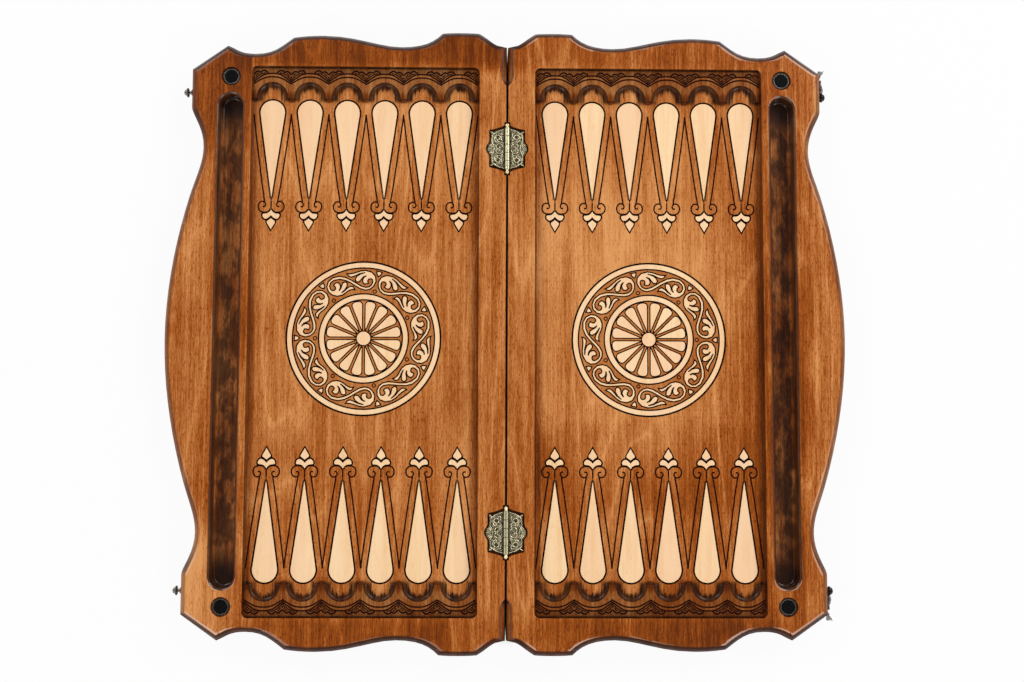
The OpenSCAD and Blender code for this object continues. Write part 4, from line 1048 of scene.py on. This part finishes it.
def table_white():
    """The table top: its own shading lifted towards white where the camera, gloss and glass see it."""
    stage = bpy.context.scene.board_stage
    f = Finish("table_white")
    plain = f.node("ShaderNodeBsdfDiffuse", Color=tuple(stage.floor))
    glow = f.node("ShaderNodeEmission", Color=(1.0, 1.0, 1.0), Strength=1.0)
    path = f.node("ShaderNodeLightPath").outputs
    seen = f.any_of(path["Is Camera Ray"], path["Is Glossy Ray"], path["Is Transmission Ray"])
    in_seam = f.all_of(f.step(f.size(f.x), 7 * MM, 6 * MM),
                       f.step(f.size(f.y), CAD_BOX[1].y - 4 * MM, CAD_BOX[1].y - 24 * MM))
    seen = f.all_of(seen, f.less(in_seam))
    blend = f.node("ShaderNodeMixShader", Fac=f.scaled(seen, WHITENESS))
    f.tree.links.new(plain.outputs[0], blend.inputs[1])
    f.tree.links.new(glow.outputs[0], blend.inputs[2])
    f.node("ShaderNodeOutputMaterial", Surface=blend.outputs[0])
    return f.material


def lamp(name, place, power):
    """A square soft light that faces the board's middle."""
    turn = (-Vector(place)).to_track_quat("-Z", "Y").to_euler()
    bpy.ops.object.light_add(type="AREA", location=place, rotation=turn)
    light = bpy.context.object
    light.name = name
    light.data.size = LAMP_SIZE
    light.data.energy = power


def studio_white():
    """White where the camera sees it, else bright at the horizon and dim overhead, to keep level faces clear."""
    stage = bpy.context.scene.board_stage
    world = bpy.data.worlds.new("studio_white")
    sky = Nodes(world)
    way = sky.node("ShaderNodeTexCoord").outputs["Generated"]
    light = sky.node(
        "ShaderNodeMapRange", {"interpolation_type": "SMOOTHSTEP"},
        Value=sky.node("ShaderNodeSeparateXYZ", Vector=way).outputs["Z"],
        From_Max=0.9, To_Min=stage.horizon, To_Max=stage.zenith,
    ).outputs["Result"]
    seen = sky.node("ShaderNodeLightPath").outputs["Is Camera Ray"]
    white = sky.node("ShaderNodeBackground", Color=(1.0, 1.0, 1.0), Strength=sky.any_of(seen, light))
    sky.node("ShaderNodeOutputWorld", Surface=white.outputs[0])
    return world


class BOARD_OT_stage(Operator):
    """Lays the table top, hangs the soft lights and sets up the camera"""

    bl_idname = "board.stage"
    bl_label = "Stage"

    def execute(self, context):
        stage = context.scene.board_stage
        bpy.ops.object.select_all(action="DESELECT")
        bpy.ops.mesh.primitive_plane_add(size=12, location=(0, 0, 0))
        table = context.object
        table.name = "table_top"
        paint(table, table_white)
        lamp("rear_right", (1.2, 1.1, 1.2), 17)
        lamp("rear_left", (-1.2, 1.2, 1.2), 13)
        lamp("front_right", (1.3, -1.2, 1.2), 14)
        lamp("front_left", (-1.2, -1.3, 1.2), 12)
        context.scene.world = studio_white()
        bpy.ops.object.camera_add(location=stage.camera_place, rotation=stage.camera_turn)
        camera = context.object
        camera.name = "photo_camera"
        camera.data.sensor_fit = "HORIZONTAL"
        camera.data.sensor_width = 36
        camera.data.lens = stage.lens
        camera.data.clip_start = 0.01
        context.scene.camera = camera
        context.scene.view_settings.view_transform = "Standard"
        return {"FINISHED"}


class BOARD_PT_backgammon(Panel):
    """Lists the sizes, the colours and the steps"""

    bl_idname = "BOARD_PT_backgammon"
    bl_label = "Backgammon board"
    bl_space_type = "VIEW_3D"
    bl_region_type = "UI"
    bl_category = "Backgammon"

    def draw(self, context):
        layout = self.layout
        for group in ("board_wood", "board_carving", "board_metal", "board_stage"):
            column = layout.column(align=True)
            settings = getattr(context.scene, group)
            for name in settings.bl_rna.properties.keys():
                if name not in {"rna_type", "name"}:
                    column.prop(settings, name)
        for step in STEPS:
            layout.operator(step.bl_idname)


STEPS = (
    BOARD_OT_halves, BOARD_OT_inlays, BOARD_OT_medallion_grounds, BOARD_OT_corner_discs, BOARD_OT_hinges,
    BOARD_OT_latches, BOARD_OT_stage,
)
GROUPS = {
    "board_wood": BoardWood, "board_carving": BoardCarving, "board_metal": BoardMetal, "board_stage": BoardStage,
}


def register():
    for item in (*GROUPS.values(), *STEPS, BOARD_PT_backgammon):
        bpy.utils.register_class(item)
    for name, group in GROUPS.items():
        setattr(bpy.types.Scene, name, PointerProperty(type=group))


def unregister():
    for name in GROUPS:
        delattr(bpy.types.Scene, name)
    for item in reversed((*GROUPS.values(), *STEPS, BOARD_PT_backgammon)):
        bpy.utils.unregister_class(item)


def main():
    register()
    for step in STEPS:
        group, name = step.bl_idname.split(".")
        getattr(getattr(bpy.ops, group), name)()


if __name__ == "__main__":
    main()
